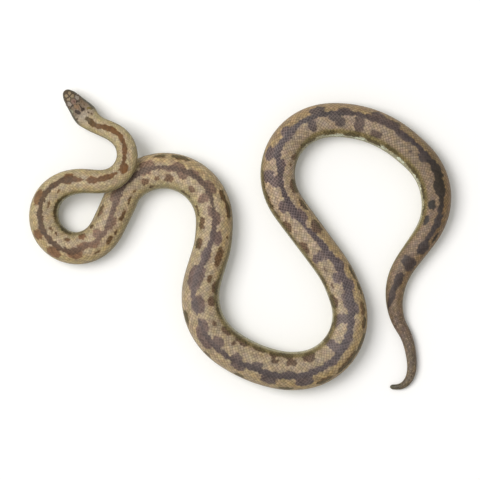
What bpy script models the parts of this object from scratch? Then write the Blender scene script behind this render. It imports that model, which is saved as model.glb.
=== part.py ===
"""A spotted python about a metre long, lying in loose open bends on a level floor.

The neck crosses over the forebody and carries the head just clear of the floor beyond it.
Origin: middle of the footprint, on the floor. +X runs across the bends, +Y is the head's side, +Z is up.
"""

import math

import bpy
import numpy as np
from mathutils import Matrix, Vector

LEFT, RIGHT = 1, -1

# The spine in plan, from the snout to the tail tip: it wraps round these circles, each on the side that
# its turn gives, and runs straight from one to the next. (name, centre x, centre y, radius, turn)
SNOUT_TIP = (-0.1317, 0.1117)
BENDS = (
    ("nape", -0.099, 0.104, 0.020, LEFT),
    ("neck_hook", -0.104, 0.063, 0.020, RIGHT),
    ("loop_entry", -0.118, 0.004, 0.040, LEFT),
    ("loop", -0.123, 0.018, 0.025, LEFT),
    ("under_neck", -0.083, 0.030, 0.006, RIGHT),
    ("shoulder_arch", -0.057, 0.014, 0.038, RIGHT),
    ("arch_side", -0.040, -0.001, 0.020, RIGHT),
    ("flank_turn", 0.017, -0.043, 0.047, LEFT),
    ("long_base", 0.048, -0.001, 0.099, LEFT),
    ("base_corner", 0.042, -0.058, 0.041, LEFT),
    ("rise", 0.014, -0.058, 0.067, LEFT),
    ("high_turn", 0.069, 0.049, 0.041, RIGHT),
    ("crown", 0.072, 0.010, 0.080, RIGHT),
    ("brow", 0.102, 0.029, 0.046, RIGHT),
    ("hip_turn", 0.163, -0.045, 0.047, LEFT),
    ("tail_turn", 0.080, -0.091, 0.049, RIGHT),
    ("tail_curl", 0.109, -0.096, 0.021, RIGHT),
    ("tip_hook", 0.120, -0.106, 0.006, RIGHT),
)
TAIL_TIP = (0.113, -0.111)
STEP = 0.001  # spacing of the points that the spine is worked out at
EASE = 0.005  # how far one bend eases into the next

# Distances along the spine from the snout
EYE_AT = 0.0098
JAW_CORNER_AT = 0.0215
HEAD_END = 0.031
VENT_AT = 0.945

# Width of the body from side to side, at distances from the snout
WIDTHS = (
    (0.031, 0.0154),
    (0.039, 0.0136),
    (0.060, 0.0151),
    (0.110, 0.0182),
    (0.160, 0.0224),
    (0.240, 0.0258),
    (0.360, 0.0280),
    (0.510, 0.0289),
    (0.630, 0.0252),
    (0.700, 0.0260),
    (0.790, 0.0256),
    (0.865, 0.0236),
    (0.900, 0.0196),
    (0.945, 0.0156),
    (0.980, 0.0100),
    (1.020, 0.0068),
    (1.041, 0.0036),
)
# Depth of the body from back to belly, as a share of its width
DEPTH_SHARES = ((0.031, 0.735), (0.060, 0.80), (0.200, 0.84), (0.945, 0.86), (1.041, 0.92))
WIDEST_SHARE = 0.44  # height of the widest level, as a share of the depth
BACK_FULLNESS = 2.3  # 2 is an ellipse, more is squarer
BELLY_FULLNESS = 2.5
BELLY_DROP = 1.06  # how far the belly's curve would reach below its flat, as a share of its depth

# The head: width, and the heights of its crown and chin over its own underside
HEAD_FORM = (
    # from tip, width, crown, chin, back fullness
    (0.0000, 0.0024, 0.0046, 0.0024, 2.0),
    (0.0006, 0.0048, 0.0056, 0.0014, 2.1),
    (0.0020, 0.0071, 0.0064, 0.0008, 2.3),
    (0.0050, 0.0102, 0.0074, 0.0003, 2.5),
    (0.0098, 0.0126, 0.0088, 0.0000, 2.6),
    (0.0150, 0.0149, 0.0100, 0.0000, 2.5),
    (0.0205, 0.0173, 0.0109, 0.0000, 2.3),
    (0.0245, 0.0181, 0.0113, 0.0000, 2.2),
    (0.0310, 0.0154, 0.0113, 0.0000, 2.1),
)
HEAD_RING_AT = (0.0, 0.0006, 0.0014, 0.0025, 0.0040, 0.0060, 0.0080, 0.0100, 0.0120, 0.0145,
                0.0170, 0.0195, 0.0220, 0.0245, 0.0270, 0.0290)
MOUTH_RISE = ((0.0, 0.0026), (0.006, 0.0026), (0.0135, 0.0024), (0.0215, 0.0033))
EYE_RADIUS = 0.0021
EYE_HEIGHT = 0.0056
EYE_BULGE = 0.0004  # how far the eye stands out of the head's side

# Height of the belly over the floor: the neck is carried over the forebody
LIFTS = ((0.0, 0.0060), (0.030, 0.0080), (0.087, 0.0214), (0.095, 0.0214), (0.165, 0.0), (1.2, 0.0))

PART_GAP = 0.0003  # thin cut between two neighbouring pieces
SIDES = 20
RING_SPACING = 0.006
TIP_RING_SPACING = 0.003  # closer, because the tail's tip curls tightly
# The lengths that the body is parted into, and where each ends
LENGTHS = (
    ("neck_front", 0.072),
    ("neck_rear", 0.116),
    ("forebody_1", 0.176),
    ("forebody_2", 0.240),
    ("forebody_3", 0.312),
    ("midbody_1", 0.386),
    ("midbody_2", 0.462),
    ("midbody_3", 0.540),
    ("midbody_4", 0.622),
    ("hindbody_1", 0.702),
    ("hindbody_2", 0.784),
    ("hindbody_3", 0.866),
    ("hindbody_4", VENT_AT),
    ("tail_base", 0.995),
)

SKIN_COLOUR = (0.42, 0.31, 0.17, 1.0)
HEAD_COLOUR = (0.34, 0.25, 0.16, 1.0)
EYE_COLOUR = (0.10, 0.07, 0.04, 1.0)


def material(name, colour, roughness):
    """A plain Principled material of one colour."""
    made = bpy.data.materials.new(name)
    made.use_nodes = True
    shader = made.node_tree.nodes["Principled BSDF"]
    shader.inputs["Base Color"].default_value = colour
    shader.inputs["Roughness"].default_value = roughness
    shader.inputs["Metallic"].default_value = 0.0
    made.diffuse_color = colour
    return made


def smooth_through(stations, at):
    """A smooth curve through (place, value) stations that never overshoots them."""
    places = np.array([row[0] for row in stations])
    values = np.array([row[1] for row in stations])
    gaps = np.diff(places)
    slopes = np.diff(values) / gaps
    tangents = np.zeros(len(places))
    tangents[0], tangents[-1] = slopes[0], slopes[-1]
    for i in range(1, len(places) - 1):
        before, after = slopes[i - 1], slopes[i]
        if before * after > 0:
            tangents[i] = 2 * before * after / (before + after)
    at = np.clip(np.asarray(at, float), places[0], places[-1])
    i = np.clip(np.searchsorted(places, at, side="right") - 1, 0, len(gaps) - 1)
    t = (at - places[i]) / gaps[i]
    return (
        values[i] * (1 + 2 * t) * (1 - t) ** 2
        + values[i + 1] * t * t * (3 - 2 * t)
        + gaps[i] * (tangents[i] * t * (1 - t) ** 2 - tangents[i + 1] * t * t * (1 - t))
    )


def tangent_heading(first, second):
    """Heading of the straight run that leaves circle first and meets circle second, each (x, y, radius, turn)."""
    run_x, run_y = second[0] - first[0], second[1] - first[1]
    slant = (second[3] * second[2] - first[3] * first[2]) / math.hypot(run_x, run_y)
    return math.atan2(run_y, run_x) - math.asin(min(1.0, max(-1.0, slant)))


def spine_plan():
    """Evenly spaced points of the spine in plan, as an array of (x, y)."""
    circles = [(*SNOUT_TIP, 0.0, LEFT), *(bend[1:] for bend in BENDS), (*TAIL_TIP, 0.0, LEFT)]
    headings = [tangent_heading(a, b) for a, b in zip(circles, circles[1:])]
    points = [SNOUT_TIP]
    for (x, y, radius, turn), arrive, leave in zip(circles[1:-1], headings, headings[1:]):
        swept = (turn * (leave - arrive)) % (2 * math.pi)
        if swept > 1.9 * math.pi:  # circles that just touch: the line only brushes this one
            swept = 0.0
        for heading in np.linspace(arrive, arrive + turn * swept, 2 + int(swept * radius / STEP)):
            points.append((x + turn * radius * math.sin(heading), y - turn * radius * math.cos(heading)))
    points.append(TAIL_TIP)
    return softened(evenly_spaced(np.array(points)))


def evenly_spaced(points):
    """The same line with a point at every STEP."""
    runs = np.hypot(*np.diff(points, axis=0).T)
    points = points[np.concatenate([[True], runs > 1e-9])]
    along = np.concatenate([[0.0], np.cumsum(np.hypot(*np.diff(points, axis=0).T))])
    places = np.linspace(0.0, along[-1], 1 + round(along[-1] / STEP))
    return np.stack([np.interp(places, along, points[:, axis]) for axis in (0, 1)], axis=1)


def softened(points):
    """The line with each bend eased into the next, its two ends kept."""
    reach = int(4 * EASE / STEP)
    steps = np.arange(1, reach + 1)[:, None]
    before = points[0] - steps[::-1] * (points[1] - points[0])
    after = points[-1] + steps * (points[-1] - points[-2])
    padded = np.vstack([before, points, after])
    weights = np.exp(-0.5 * (np.arange(-reach, reach + 1) * STEP / EASE) ** 2)
    weights /= weights.sum()
    return np.stack([np.convolve(padded[:, axis], weights, "valid") for axis in (0, 1)], axis=1)


class Spine:
    """The line that the sections are set on, with the way across and up at each place."""

    def __init__(self):
        self.plan = spine_plan()
        self.places = np.arange(len(self.plan)) * STEP
        self.length = self.places[-1]
        self.headings = np.gradient(self.plan, STEP, axis=0)

    def frame(self, place):
        """(foot on the belly's level, forward, across to the left, up) at a distance from the snout."""
        x, y = (np.interp(place, self.places, self.plan[:, axis]) for axis in (0, 1))
        dx, dy = (np.interp(place, self.places, self.headings[:, axis]) for axis in (0, 1))
        lift, ahead = smooth_through(LIFTS, [place, place + STEP])
        level = Vector((dx, dy, 0)).normalized()
        across = Vector((0, 0, 1)).cross(level)
        forward = (level + Vector((0, 0, (ahead - lift) / STEP))).normalized()
        return Vector((x, y, lift)), forward, across, forward.cross(across)


def outline(width, crown, chin, widest, back_fullness, belly_fullness, belly_drop, sides=SIDES):
    """One section as (across, up) pairs, from the middle of the back round by the left side.

    The back is a rounded arch over the widest level, and the belly a fuller one cut off flat at chin.
    """
    pairs = []
    for k in range(sides):
        turn = 2 * math.pi * k / sides
        sine, cosine = math.sin(turn), math.cos(turn)
        fullness = back_fullness if cosine >= 0 else belly_fullness
        across = math.copysign(abs(sine) ** (2 / fullness), sine) * width / 2
        rise = abs(cosine) ** (2 / fullness)
        if cosine >= 0:
            up = widest + (crown - widest) * rise
        else:
            up = max(chin, widest - (widest - chin) * belly_drop * rise)
        pairs.append((across, up))
    return pairs


def body_outline(place, length):
    """The body's section at a distance from the snout, closing in to the tail's tip."""
    width = float(smooth_through(WIDTHS, place))
    last = WIDTHS[-1][0]
    if place > last:
        width *= math.sqrt(max(0.0, 1 - ((place - last) / (length - last)) ** 2))
    depth = width * float(smooth_through(DEPTH_SHARES, place))
    return outline(width, depth, 0.0, WIDEST_SHARE * depth, BACK_FULLNESS, BELLY_FULLNESS, BELLY_DROP)


def head_outline(place):
    """The head's section at a distance from the snout."""
    width, crown, chin, fullness = (
        float(smooth_through([(row[0], row[column]) for row in HEAD_FORM], place)) for column in (1, 2, 3, 4)
    )
    widest = chin + WIDEST_SHARE * (crown - chin)
    return outline(width, crown, chin, widest, fullness, BELLY_FULLNESS, BELLY_DROP)


def ring(spine, place, pairs, shift, onward=0.0):
    """A section's points in space, with the section moved onward by a small step."""
    foot, forward, across, up = spine.frame(place)
    return [foot + across * side + up * rise + forward * onward - shift for side, rise in pairs]


def loft(name, rings, finish):
    """A closed solid through rings of the same number of points, with flat ends."""
    count = len(rings[0])
    points = [tuple(point) for one in rings for point in one]
    faces = [tuple(reversed(range(count)))]
    for k in range(len(rings) - 1):
        low, high = k * count, (k + 1) * count
        faces += [(low + j, low + (j + 1) % count, high + (j + 1) % count, high + j) for j in range(count)]
    faces.append(tuple(range((len(rings) - 1) * count, len(rings) * count)))
    return solid(name, points, faces, finish)


def solid(name, points, faces, finish):
    """A named object from points and faces, turned to face outwards and shaded smooth."""
    mesh = bpy.data.meshes.new(name)
    mesh.from_pydata(points, [], faces)
    mesh.validate()
    if volume(mesh) < 0:
        mesh.flip_normals()
    mesh.materials.append(finish)
    mesh.shade_smooth()
    mesh.set_sharp_from_angle(angle=math.radians(50))
    made = bpy.data.objects.new(name, mesh)
    bpy.context.scene.collection.objects.link(made)
    return made


def volume(mesh):
    """Signed volume of a closed mesh."""
    total = 0.0
    for face in mesh.polygons:
        corners = [mesh.vertices[i].co for i in face.vertices]
        for second, third in zip(corners[1:], corners[2:]):
            total += corners[0].dot(second.cross(third)) / 6
    return total


def cutter(obj):
    """Marks an object as a tool that is cut away and not part of the model."""
    obj.hide_render = True
    obj.display_type = "WIRE"
    return obj


def cut(target, tool, operation):
    """Adds a Boolean of the tool to the target."""
    modifier = target.modifiers.new(tool.name, "BOOLEAN")
    modifier.operation = operation
    modifier.object = tool
    modifier.solver = "EXACT"


def ball(name, centre, radius, finish, segments=16, rings=10):
    """A closed sphere of quads with a point at each pole."""
    points = [centre + Vector((0, 0, radius))]
    for i in range(1, rings):
        tilt = math.pi * i / rings
        for j in range(segments):
            turn = 2 * math.pi * j / segments
            flat = Vector((math.cos(turn), math.sin(turn), 0)) * math.sin(tilt)
            points.append(centre + (flat + Vector((0, 0, math.cos(tilt)))) * radius)
    points.append(centre - Vector((0, 0, radius)))
    last = len(points) - 1
    faces = [(0, 1 + j, 1 + (j + 1) % segments) for j in range(segments)]
    for i in range(rings - 2):
        low, high = 1 + i * segments, 1 + (i + 1) * segments
        faces += [(low + j, high + j, high + (j + 1) % segments, low + (j + 1) % segments) for j in range(segments)]
    start = last - segments
    faces += [(start + j, last, start + (j + 1) % segments) for j in range(segments)]
    return solid(name, [tuple(p) for p in points], faces, finish)


def mouth_tool(name, spine, shift, lowered, finish):
    """The room of the lower jaw: all that lies under the mouth's line, ahead of the jaw's corner."""
    front, beyond, reach = -0.002, 0.004, 0.012
    places = np.linspace(front, JAW_CORNER_AT - lowered, 9)
    foot, forward, across, up = spine.frame(0.0)
    rings = []
    for place in places:
        mouth = float(smooth_through(MOUTH_RISE, place)) - lowered
        base = foot + forward * place - shift
        rings.append([
            base + across * reach + up * mouth,
            base - across * reach + up * mouth,
            base - across * reach - up * beyond,
            base + across * reach - up * beyond,
        ])
    return cutter(loft(name, rings, finish))


def build_head(spine, shift, skin, eye_finish):
    """The upper head, the lower jaw and the two eyes."""
    rings = [ring(spine, place, head_outline(place), shift) for place in HEAD_RING_AT]
    rings.append(ring(spine, HEAD_END, head_outline(HEAD_END), shift, -PART_GAP / 2))
    head = loft("head", rings, skin)
    jaw = loft("lower_jaw", rings, skin)
    cut(head, mouth_tool("jaw_room", spine, shift, 0.0, skin), "DIFFERENCE")
    cut(jaw, mouth_tool("jaw_blank", spine, shift, PART_GAP, skin), "INTERSECT")

    foot, _, across, up = spine.frame(EYE_AT)
    half_width = float(smooth_through([(row[0], row[1]) for row in HEAD_FORM], EYE_AT)) / 2
    for side, word in ((LEFT, "left"), (RIGHT, "right")):
        centre = foot + across * side * (half_width + EYE_BULGE - EYE_RADIUS) + up * EYE_HEIGHT - shift
        cut(head, cutter(ball(f"socket_{word}", centre, EYE_RADIUS + PART_GAP, skin)), "DIFFERENCE")
        ball(f"eye_{word}", centre, EYE_RADIUS, eye_finish)


def build_body(spine, shift, skin):
    """The neck, the trunk and the tail, each length its own solid."""
    begin = HEAD_END
    for name, end in (*LENGTHS, ("tail_tip", spine.length)):
        spacing = TIP_RING_SPACING if end == spine.length else RING_SPACING
        places = np.linspace(begin, end, 1 + round((end - begin) / spacing))
        steps = np.zeros(len(places))
        steps[0] = PART_GAP / 2
        if end == spine.length:
            places = np.concatenate([places[:-1], np.linspace(places[-2], end - STEP / 4, 5)[1:]])
            steps = np.append(steps, np.zeros(3))
        else:
            steps[-1] = -PART_GAP / 2
        rings = [
            ring(spine, place, body_outline(place, spine.length), shift, step)
            for place, step in zip(places, steps)
        ]
        loft(name, rings, skin)
        begin = end


def footprint_middle(spine):
    """The middle of the whole model's box in plan, on the floor."""
    points = [p for place in HEAD_RING_AT for p in ring(spine, place, head_outline(place), Vector())]
    for place in np.arange(HEAD_END, spine.length, STEP):
        points += ring(spine, place, body_outline(place, spine.length), Vector())
    xs, ys = [p.x for p in points], [p.y for p in points]
    return Vector(((min(xs) + max(xs)) / 2, (min(ys) + max(ys)) / 2, 0.0))


def main():
    for obj in list(bpy.data.objects):
        bpy.data.objects.remove(obj)
    spine = Spine()
    shift = footprint_middle(spine)
    skin = material("skin", SKIN_COLOUR, 0.5)
    head_skin = material("head_skin", HEAD_COLOUR, 0.4)
    build_head(spine, shift, head_skin, material("eye", EYE_COLOUR, 0.08))
    build_body(spine, shift, skin)


main()
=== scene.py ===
"""Looks of a spotted python that lies in loose open bends on a pale floor.

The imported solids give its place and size. One skin closes over all their cuts, plates and folds shape
its head, overlapping scales cover the body from the nape to the tail tip, and broad plates run along
the belly.
"""

from __future__ import annotations

import logging
import math
from dataclasses import dataclass, field
from enum import Enum
from typing import Any, Sequence

import bpy
import numpy as np
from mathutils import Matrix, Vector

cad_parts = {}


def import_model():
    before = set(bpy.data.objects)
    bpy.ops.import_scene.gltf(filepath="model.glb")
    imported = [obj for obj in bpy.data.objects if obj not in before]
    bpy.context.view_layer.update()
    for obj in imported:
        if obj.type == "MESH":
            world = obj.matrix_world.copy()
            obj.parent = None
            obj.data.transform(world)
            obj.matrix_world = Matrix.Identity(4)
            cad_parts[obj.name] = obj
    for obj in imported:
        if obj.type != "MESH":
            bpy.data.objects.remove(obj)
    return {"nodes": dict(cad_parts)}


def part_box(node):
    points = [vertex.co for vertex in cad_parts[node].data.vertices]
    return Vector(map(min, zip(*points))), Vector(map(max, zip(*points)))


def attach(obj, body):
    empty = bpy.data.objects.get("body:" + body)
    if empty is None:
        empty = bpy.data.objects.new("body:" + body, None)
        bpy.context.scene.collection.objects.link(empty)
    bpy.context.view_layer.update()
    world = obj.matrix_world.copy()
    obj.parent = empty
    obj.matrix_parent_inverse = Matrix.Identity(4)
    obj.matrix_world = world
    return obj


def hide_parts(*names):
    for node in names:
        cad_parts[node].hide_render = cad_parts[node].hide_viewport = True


Array = np.ndarray
Pair = tuple[Array, Array]
Colour = tuple[float, float, float]
Table = tuple[tuple[float, ...], ...]
Socket = bpy.types.NodeSocket
LOG = logging.getLogger("python")
MM = 0.001
TINY = 1e-9
BAKE_MAP = "OFBake"
SHARP = 40.0


class Side(Enum):
    """A side of the animal, and the sign of the places that lie on it."""

    LEFT = 1
    RIGHT = -1


class Zone(Enum):
    """The lengths that the coat is made in, and how far from the snout each one ends, in metres."""

    NECK = 0.150
    FOREBODY = 0.290
    FRONT_TRUNK = 0.430
    MID_TRUNK = 0.570
    REAR_TRUNK = 0.710
    HINDBODY = 0.850
    TAIL = 1.050


# ---------------------------------------------------------------------------------------- curves


def smooth_through(stations: Sequence[Sequence[float]], at: Array, column: int = 1) -> Array:
    """Reads a smooth curve through stations that never overshoots them.

    Args:
        stations: rows that start with a place, in rising order.
        at: the places to read it at.
        column: which value of a row the curve follows.

    Returns:
        The curve's values, in the shape of at.
    """
    places = np.array([row[0] for row in stations])
    values = np.array([row[column] for row in stations])
    gaps = np.diff(places)
    slopes = np.diff(values) / gaps
    tangents = np.zeros(len(places))
    tangents[0], tangents[-1] = slopes[0], slopes[-1]
    before, after = slopes[:-1], slopes[1:]
    rising = before * after > 0
    total = np.where(rising, before + after, 1.0)
    tangents[1:-1] = np.where(rising, 2 * before * after / total, 0.0)
    at = np.clip(np.asarray(at, float), places[0], places[-1])
    i = np.clip(np.searchsorted(places, at, side="right") - 1, 0, len(gaps) - 1)
    t = (at - places[i]) / gaps[i]
    return (
        values[i] * (1 + 2 * t) * (1 - t) ** 2
        + values[i + 1] * t * t * (3 - 2 * t)
        + gaps[i] * (tangents[i] * t * (1 - t) ** 2 - tangents[i + 1] * t * t * (1 - t))
    )


def ease(low: float, high: float, value: Array) -> Array:
    """Goes smoothly from 0 at low to 1 at high."""
    t = np.clip((np.asarray(value, float) - low) / (high - low), 0.0, 1.0)
    return t * t * (3 - 2 * t)


def bump(value: Array, reach: float) -> Array:
    """A rounded bump: 1 at 0, and nearly 0 beyond twice its reach."""
    return np.exp(-((np.asarray(value, float) / reach) ** 2))


def curves(stations: Sequence[Sequence[float]], at: Array) -> list[Array]:
    """Reads a smooth curve through each of the values of the stations' rows."""
    return [smooth_through(stations, at, column) for column in range(1, len(stations[0]))]


def blend(first: Array, second: Any, share: Array) -> Array:
    """Goes from first to second as share goes from 0 to 1."""
    return first * (1 - share) + np.asarray(second) * share


def put(name: str, data: bpy.types.ID) -> bpy.types.Object:
    """Makes an object of some data and links it to the scene."""
    made = bpy.data.objects.new(name, data)
    bpy.context.scene.collection.objects.link(made)
    return made


# ---------------------------------------------------------------------------------------- form


@dataclass(frozen=True)
class Bend:
    """A circle that the spine wraps round, in plan, and the side that it turns to."""

    x: float
    y: float
    radius: float
    turn: Side


@dataclass
class Spine:
    """The line that the body's sections are set on, from the snout to the tail tip."""

    snout_tip: tuple[float, float] = (-0.1317, 0.1117)
    tail_tip: tuple[float, float] = (0.113, -0.111)
    bends: tuple[Bend, ...] = (
        Bend(-0.099, 0.104, 0.020, Side.LEFT),
        Bend(-0.104, 0.063, 0.020, Side.RIGHT),
        Bend(-0.118, 0.004, 0.040, Side.LEFT),
        Bend(-0.123, 0.018, 0.025, Side.LEFT),
        Bend(-0.083, 0.030, 0.006, Side.RIGHT),
        Bend(-0.057, 0.014, 0.038, Side.RIGHT),
        Bend(-0.040, -0.001, 0.020, Side.RIGHT),
        Bend(0.017, -0.043, 0.047, Side.LEFT),
        Bend(0.048, -0.001, 0.099, Side.LEFT),
        Bend(0.042, -0.058, 0.041, Side.LEFT),
        Bend(0.014, -0.058, 0.067, Side.LEFT),
        Bend(0.069, 0.049, 0.041, Side.RIGHT),
        Bend(0.072, 0.010, 0.080, Side.RIGHT),
        Bend(0.102, 0.029, 0.046, Side.RIGHT),
        Bend(0.163, -0.045, 0.047, Side.LEFT),
        Bend(0.080, -0.091, 0.049, Side.RIGHT),
        Bend(0.109, -0.096, 0.021, Side.RIGHT),
        Bend(0.120, -0.106, 0.006, Side.RIGHT),
    )
    # a turn longer than this is between circles that just touch: the line only brushes them
    brushed: float = 1.9 * math.pi
    # the spacing of the line's points, and how far one bend eases into the next
    step: float = 0.001
    ease_reach: float = 0.005
    # how far the belly is carried over the floor
    lifts: Table = (
        (0.0, 0.0060),
        (0.030, 0.0080),
        (0.087, 0.0214),
        (0.095, 0.0214),
        (0.165, 0.0),
        (1.2, 0.0),
    )
    plan: Array = field(init=False)

    def __post_init__(self) -> None:
        """Works the line out in plan."""
        self.plan = self._softened(self._evenly_spaced(self._wrapped()))
        self.length = (len(self.plan) - 1) * self.step
        self.grid = np.arange(len(self.plan)) * self.step
        self.headings = np.gradient(self.plan, self.step, axis=0)

    def _wrapped(self) -> Array:
        """The taut line round the circles."""
        ends = [Bend(*tip, 0.0, Side.LEFT) for tip in (self.snout_tip, self.tail_tip)]
        circles = [ends[0], *self.bends, ends[1]]
        headings = []
        for first, second in zip(circles, circles[1:]):
            run_x, run_y = second.x - first.x, second.y - first.y
            offset = second.turn.value * second.radius - first.turn.value * first.radius
            slant = min(1.0, max(-1.0, offset / math.hypot(run_x, run_y)))
            headings.append(math.atan2(run_y, run_x) - math.asin(slant))
        points = [self.snout_tip]
        for bend, arrive, leave in zip(self.bends, headings, headings[1:]):
            sign = bend.turn.value
            swept = (sign * (leave - arrive)) % (2 * math.pi)
            swept = 0.0 if swept > self.brushed else swept
            arm = sign * bend.radius
            count = 2 + int(swept * bend.radius / self.step)
            for heading in np.linspace(arrive, arrive + sign * swept, count):
                points.append((bend.x + arm * math.sin(heading), bend.y - arm * math.cos(heading)))
        points.append(self.tail_tip)
        return np.array(points)

    def _evenly_spaced(self, points: Array) -> Array:
        """The same line with a point at every step."""
        runs = np.hypot(*np.diff(points, axis=0).T)
        points = points[np.concatenate([[True], runs > TINY])]
        along = np.concatenate([[0.0], np.cumsum(np.hypot(*np.diff(points, axis=0).T))])
        places = np.linspace(0.0, along[-1], 1 + round(along[-1] / self.step))
        return np.stack([np.interp(places, along, points[:, axis]) for axis in (0, 1)], axis=1)

    def _softened(self, points: Array) -> Array:
        """The line with each bend eased into the next."""
        reach = int(4 * self.ease_reach / self.step)
        steps = np.arange(1, reach + 1)[:, None]
        before = points[0] - steps[::-1] * (points[1] - points[0])
        after = points[-1] + steps * (points[-1] - points[-2])
        padded = np.vstack([before, points, after])
        weights = np.exp(-0.5 * (np.arange(-reach, reach + 1) * self.step / self.ease_reach) ** 2)
        weights /= weights.sum()
        return np.stack([np.convolve(padded[:, axis], weights, "valid") for axis in (0, 1)], axis=1)

    def frames(self, places: Array) -> tuple[Array, Array, Array, Array]:
        """Reads the line at places.

        Args:
            places: distances from the snout, in metres.

        Returns:
            Arrays of the foot on the belly's level, forward, across to the left, and up.
        """
        places = np.asarray(places, float)
        foot = np.zeros(places.shape + (3,))
        level = np.zeros_like(foot)
        for axis in (0, 1):
            foot[..., axis] = np.interp(places, self.grid, self.plan[:, axis])
            level[..., axis] = np.interp(places, self.grid, self.headings[:, axis])
        foot[..., 2] = smooth_through(self.lifts, places)
        slope = (smooth_through(self.lifts, places + self.step) - foot[..., 2]) / self.step
        level /= np.linalg.norm(level, axis=-1, keepdims=True)
        across = np.stack([-level[..., 1], level[..., 0], np.zeros(places.shape)], axis=-1)
        forward = level.copy()
        forward[..., 2] = slope
        forward /= np.linalg.norm(forward, axis=-1, keepdims=True)
        return foot, forward, across, np.cross(forward, across)


@dataclass
class Form:
    """The sections of the head and the body, at distances from the snout in metres."""

    head_end: float = 0.031
    vent: float = 0.945
    eye_at: float = 0.0098
    eye_height: float = 0.0056
    eye_bulge: float = 0.0004
    # how high the mouth's line runs over the chin's level, back to the corner
    mouth: Table = (
        (0.0, 0.0026),
        (0.006, 0.0026),
        (0.0135, 0.0024),
        (0.0215, 0.0033),
    )
    widths: Table = (
        (0.031, 0.0154),
        (0.039, 0.0136),
        (0.060, 0.0151),
        (0.110, 0.0182),
        (0.160, 0.0224),
        (0.240, 0.0258),
        (0.360, 0.0280),
        (0.510, 0.0289),
        (0.630, 0.0252),
        (0.700, 0.0260),
        (0.790, 0.0256),
        (0.865, 0.0236),
        (0.900, 0.0196),
        (0.945, 0.0156),
        (0.980, 0.0100),
        (1.020, 0.0068),
        (1.041, 0.0036),
    )
    # the sections' depths as shares of their widths
    depth_shares: Table = (
        (0.031, 0.735),
        (0.060, 0.80),
        (0.200, 0.84),
        (0.945, 0.86),
        (1.041, 0.92),
    )
    # from the snout's tip, width, height of the crown and of the chin, and fullness of the back
    head: Table = (
        (0.0000, 0.0024, 0.0046, 0.0024, 2.0),
        (0.0006, 0.0048, 0.0056, 0.0014, 2.1),
        (0.0020, 0.0071, 0.0064, 0.0008, 2.3),
        (0.0050, 0.0102, 0.0074, 0.0003, 2.5),
        (0.0098, 0.0126, 0.0088, 0.0000, 2.6),
        (0.0150, 0.0149, 0.0100, 0.0000, 2.5),
        (0.0205, 0.0173, 0.0109, 0.0000, 2.3),
        (0.0245, 0.0181, 0.0113, 0.0000, 2.2),
        (0.0310, 0.0154, 0.0113, 0.0000, 2.1),
    )
    # where a section is widest, as a share of its depth
    widest_share: float = 0.44
    # a fullness of 2 is an ellipse, and more is squarer
    back_fullness: float = 2.3
    belly_fullness: float = 2.5
    # how far the belly's curve would go past the level that it is flattened at
    belly_drop: float = 1.06

    def width(self, places: Array, length: float) -> Array:
        """Width from side to side at places, closing in to the tail tip at length."""
        places = np.asarray(places, float)
        last = self.widths[-1][0]
        closing = np.clip((places - last) / (length - last), 0.0, 1.0)
        body = smooth_through(self.widths, places) * np.sqrt(1 - closing**2)
        return np.where(places < self.head_end, smooth_through(self.head, places), body)

    def sections(self, places: Array, turns: Array, length: float) -> Pair:
        """Half sections, from the middle of the back down the left side to the belly.

        Args:
            places: distances from the snout.
            turns: angles from the top, from 0 to pi.
            length: the whole animal's length.

        Returns:
            Arrays of across and up, with a row for each place and a column for each turn.
        """
        places = np.asarray(places, float)
        in_head = places < self.head_end
        width = self.width(places, length)
        crown = np.where(
            in_head,
            smooth_through(self.head, places, 2),
            width * smooth_through(self.depth_shares, places),
        )
        chin = np.where(in_head, smooth_through(self.head, places, 3), 0.0)
        back = np.where(in_head, smooth_through(self.head, places, 4), self.back_fullness)
        widest = chin + self.widest_share * (crown - chin)
        sine, cosine = np.sin(turns)[None], np.cos(turns)[None]
        above = cosine >= 0
        fullness = np.where(above, back[:, None], self.belly_fullness)
        across = np.abs(sine) ** (2 / fullness) * width[:, None] / 2
        rise = np.abs(cosine) ** (2 / fullness)
        crown, chin, widest = crown[:, None], chin[:, None], widest[:, None]
        below = np.maximum(chin, widest - (widest - chin) * self.belly_drop * rise)
        return across, np.where(above, widest + (crown - widest) * rise, below)


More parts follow.
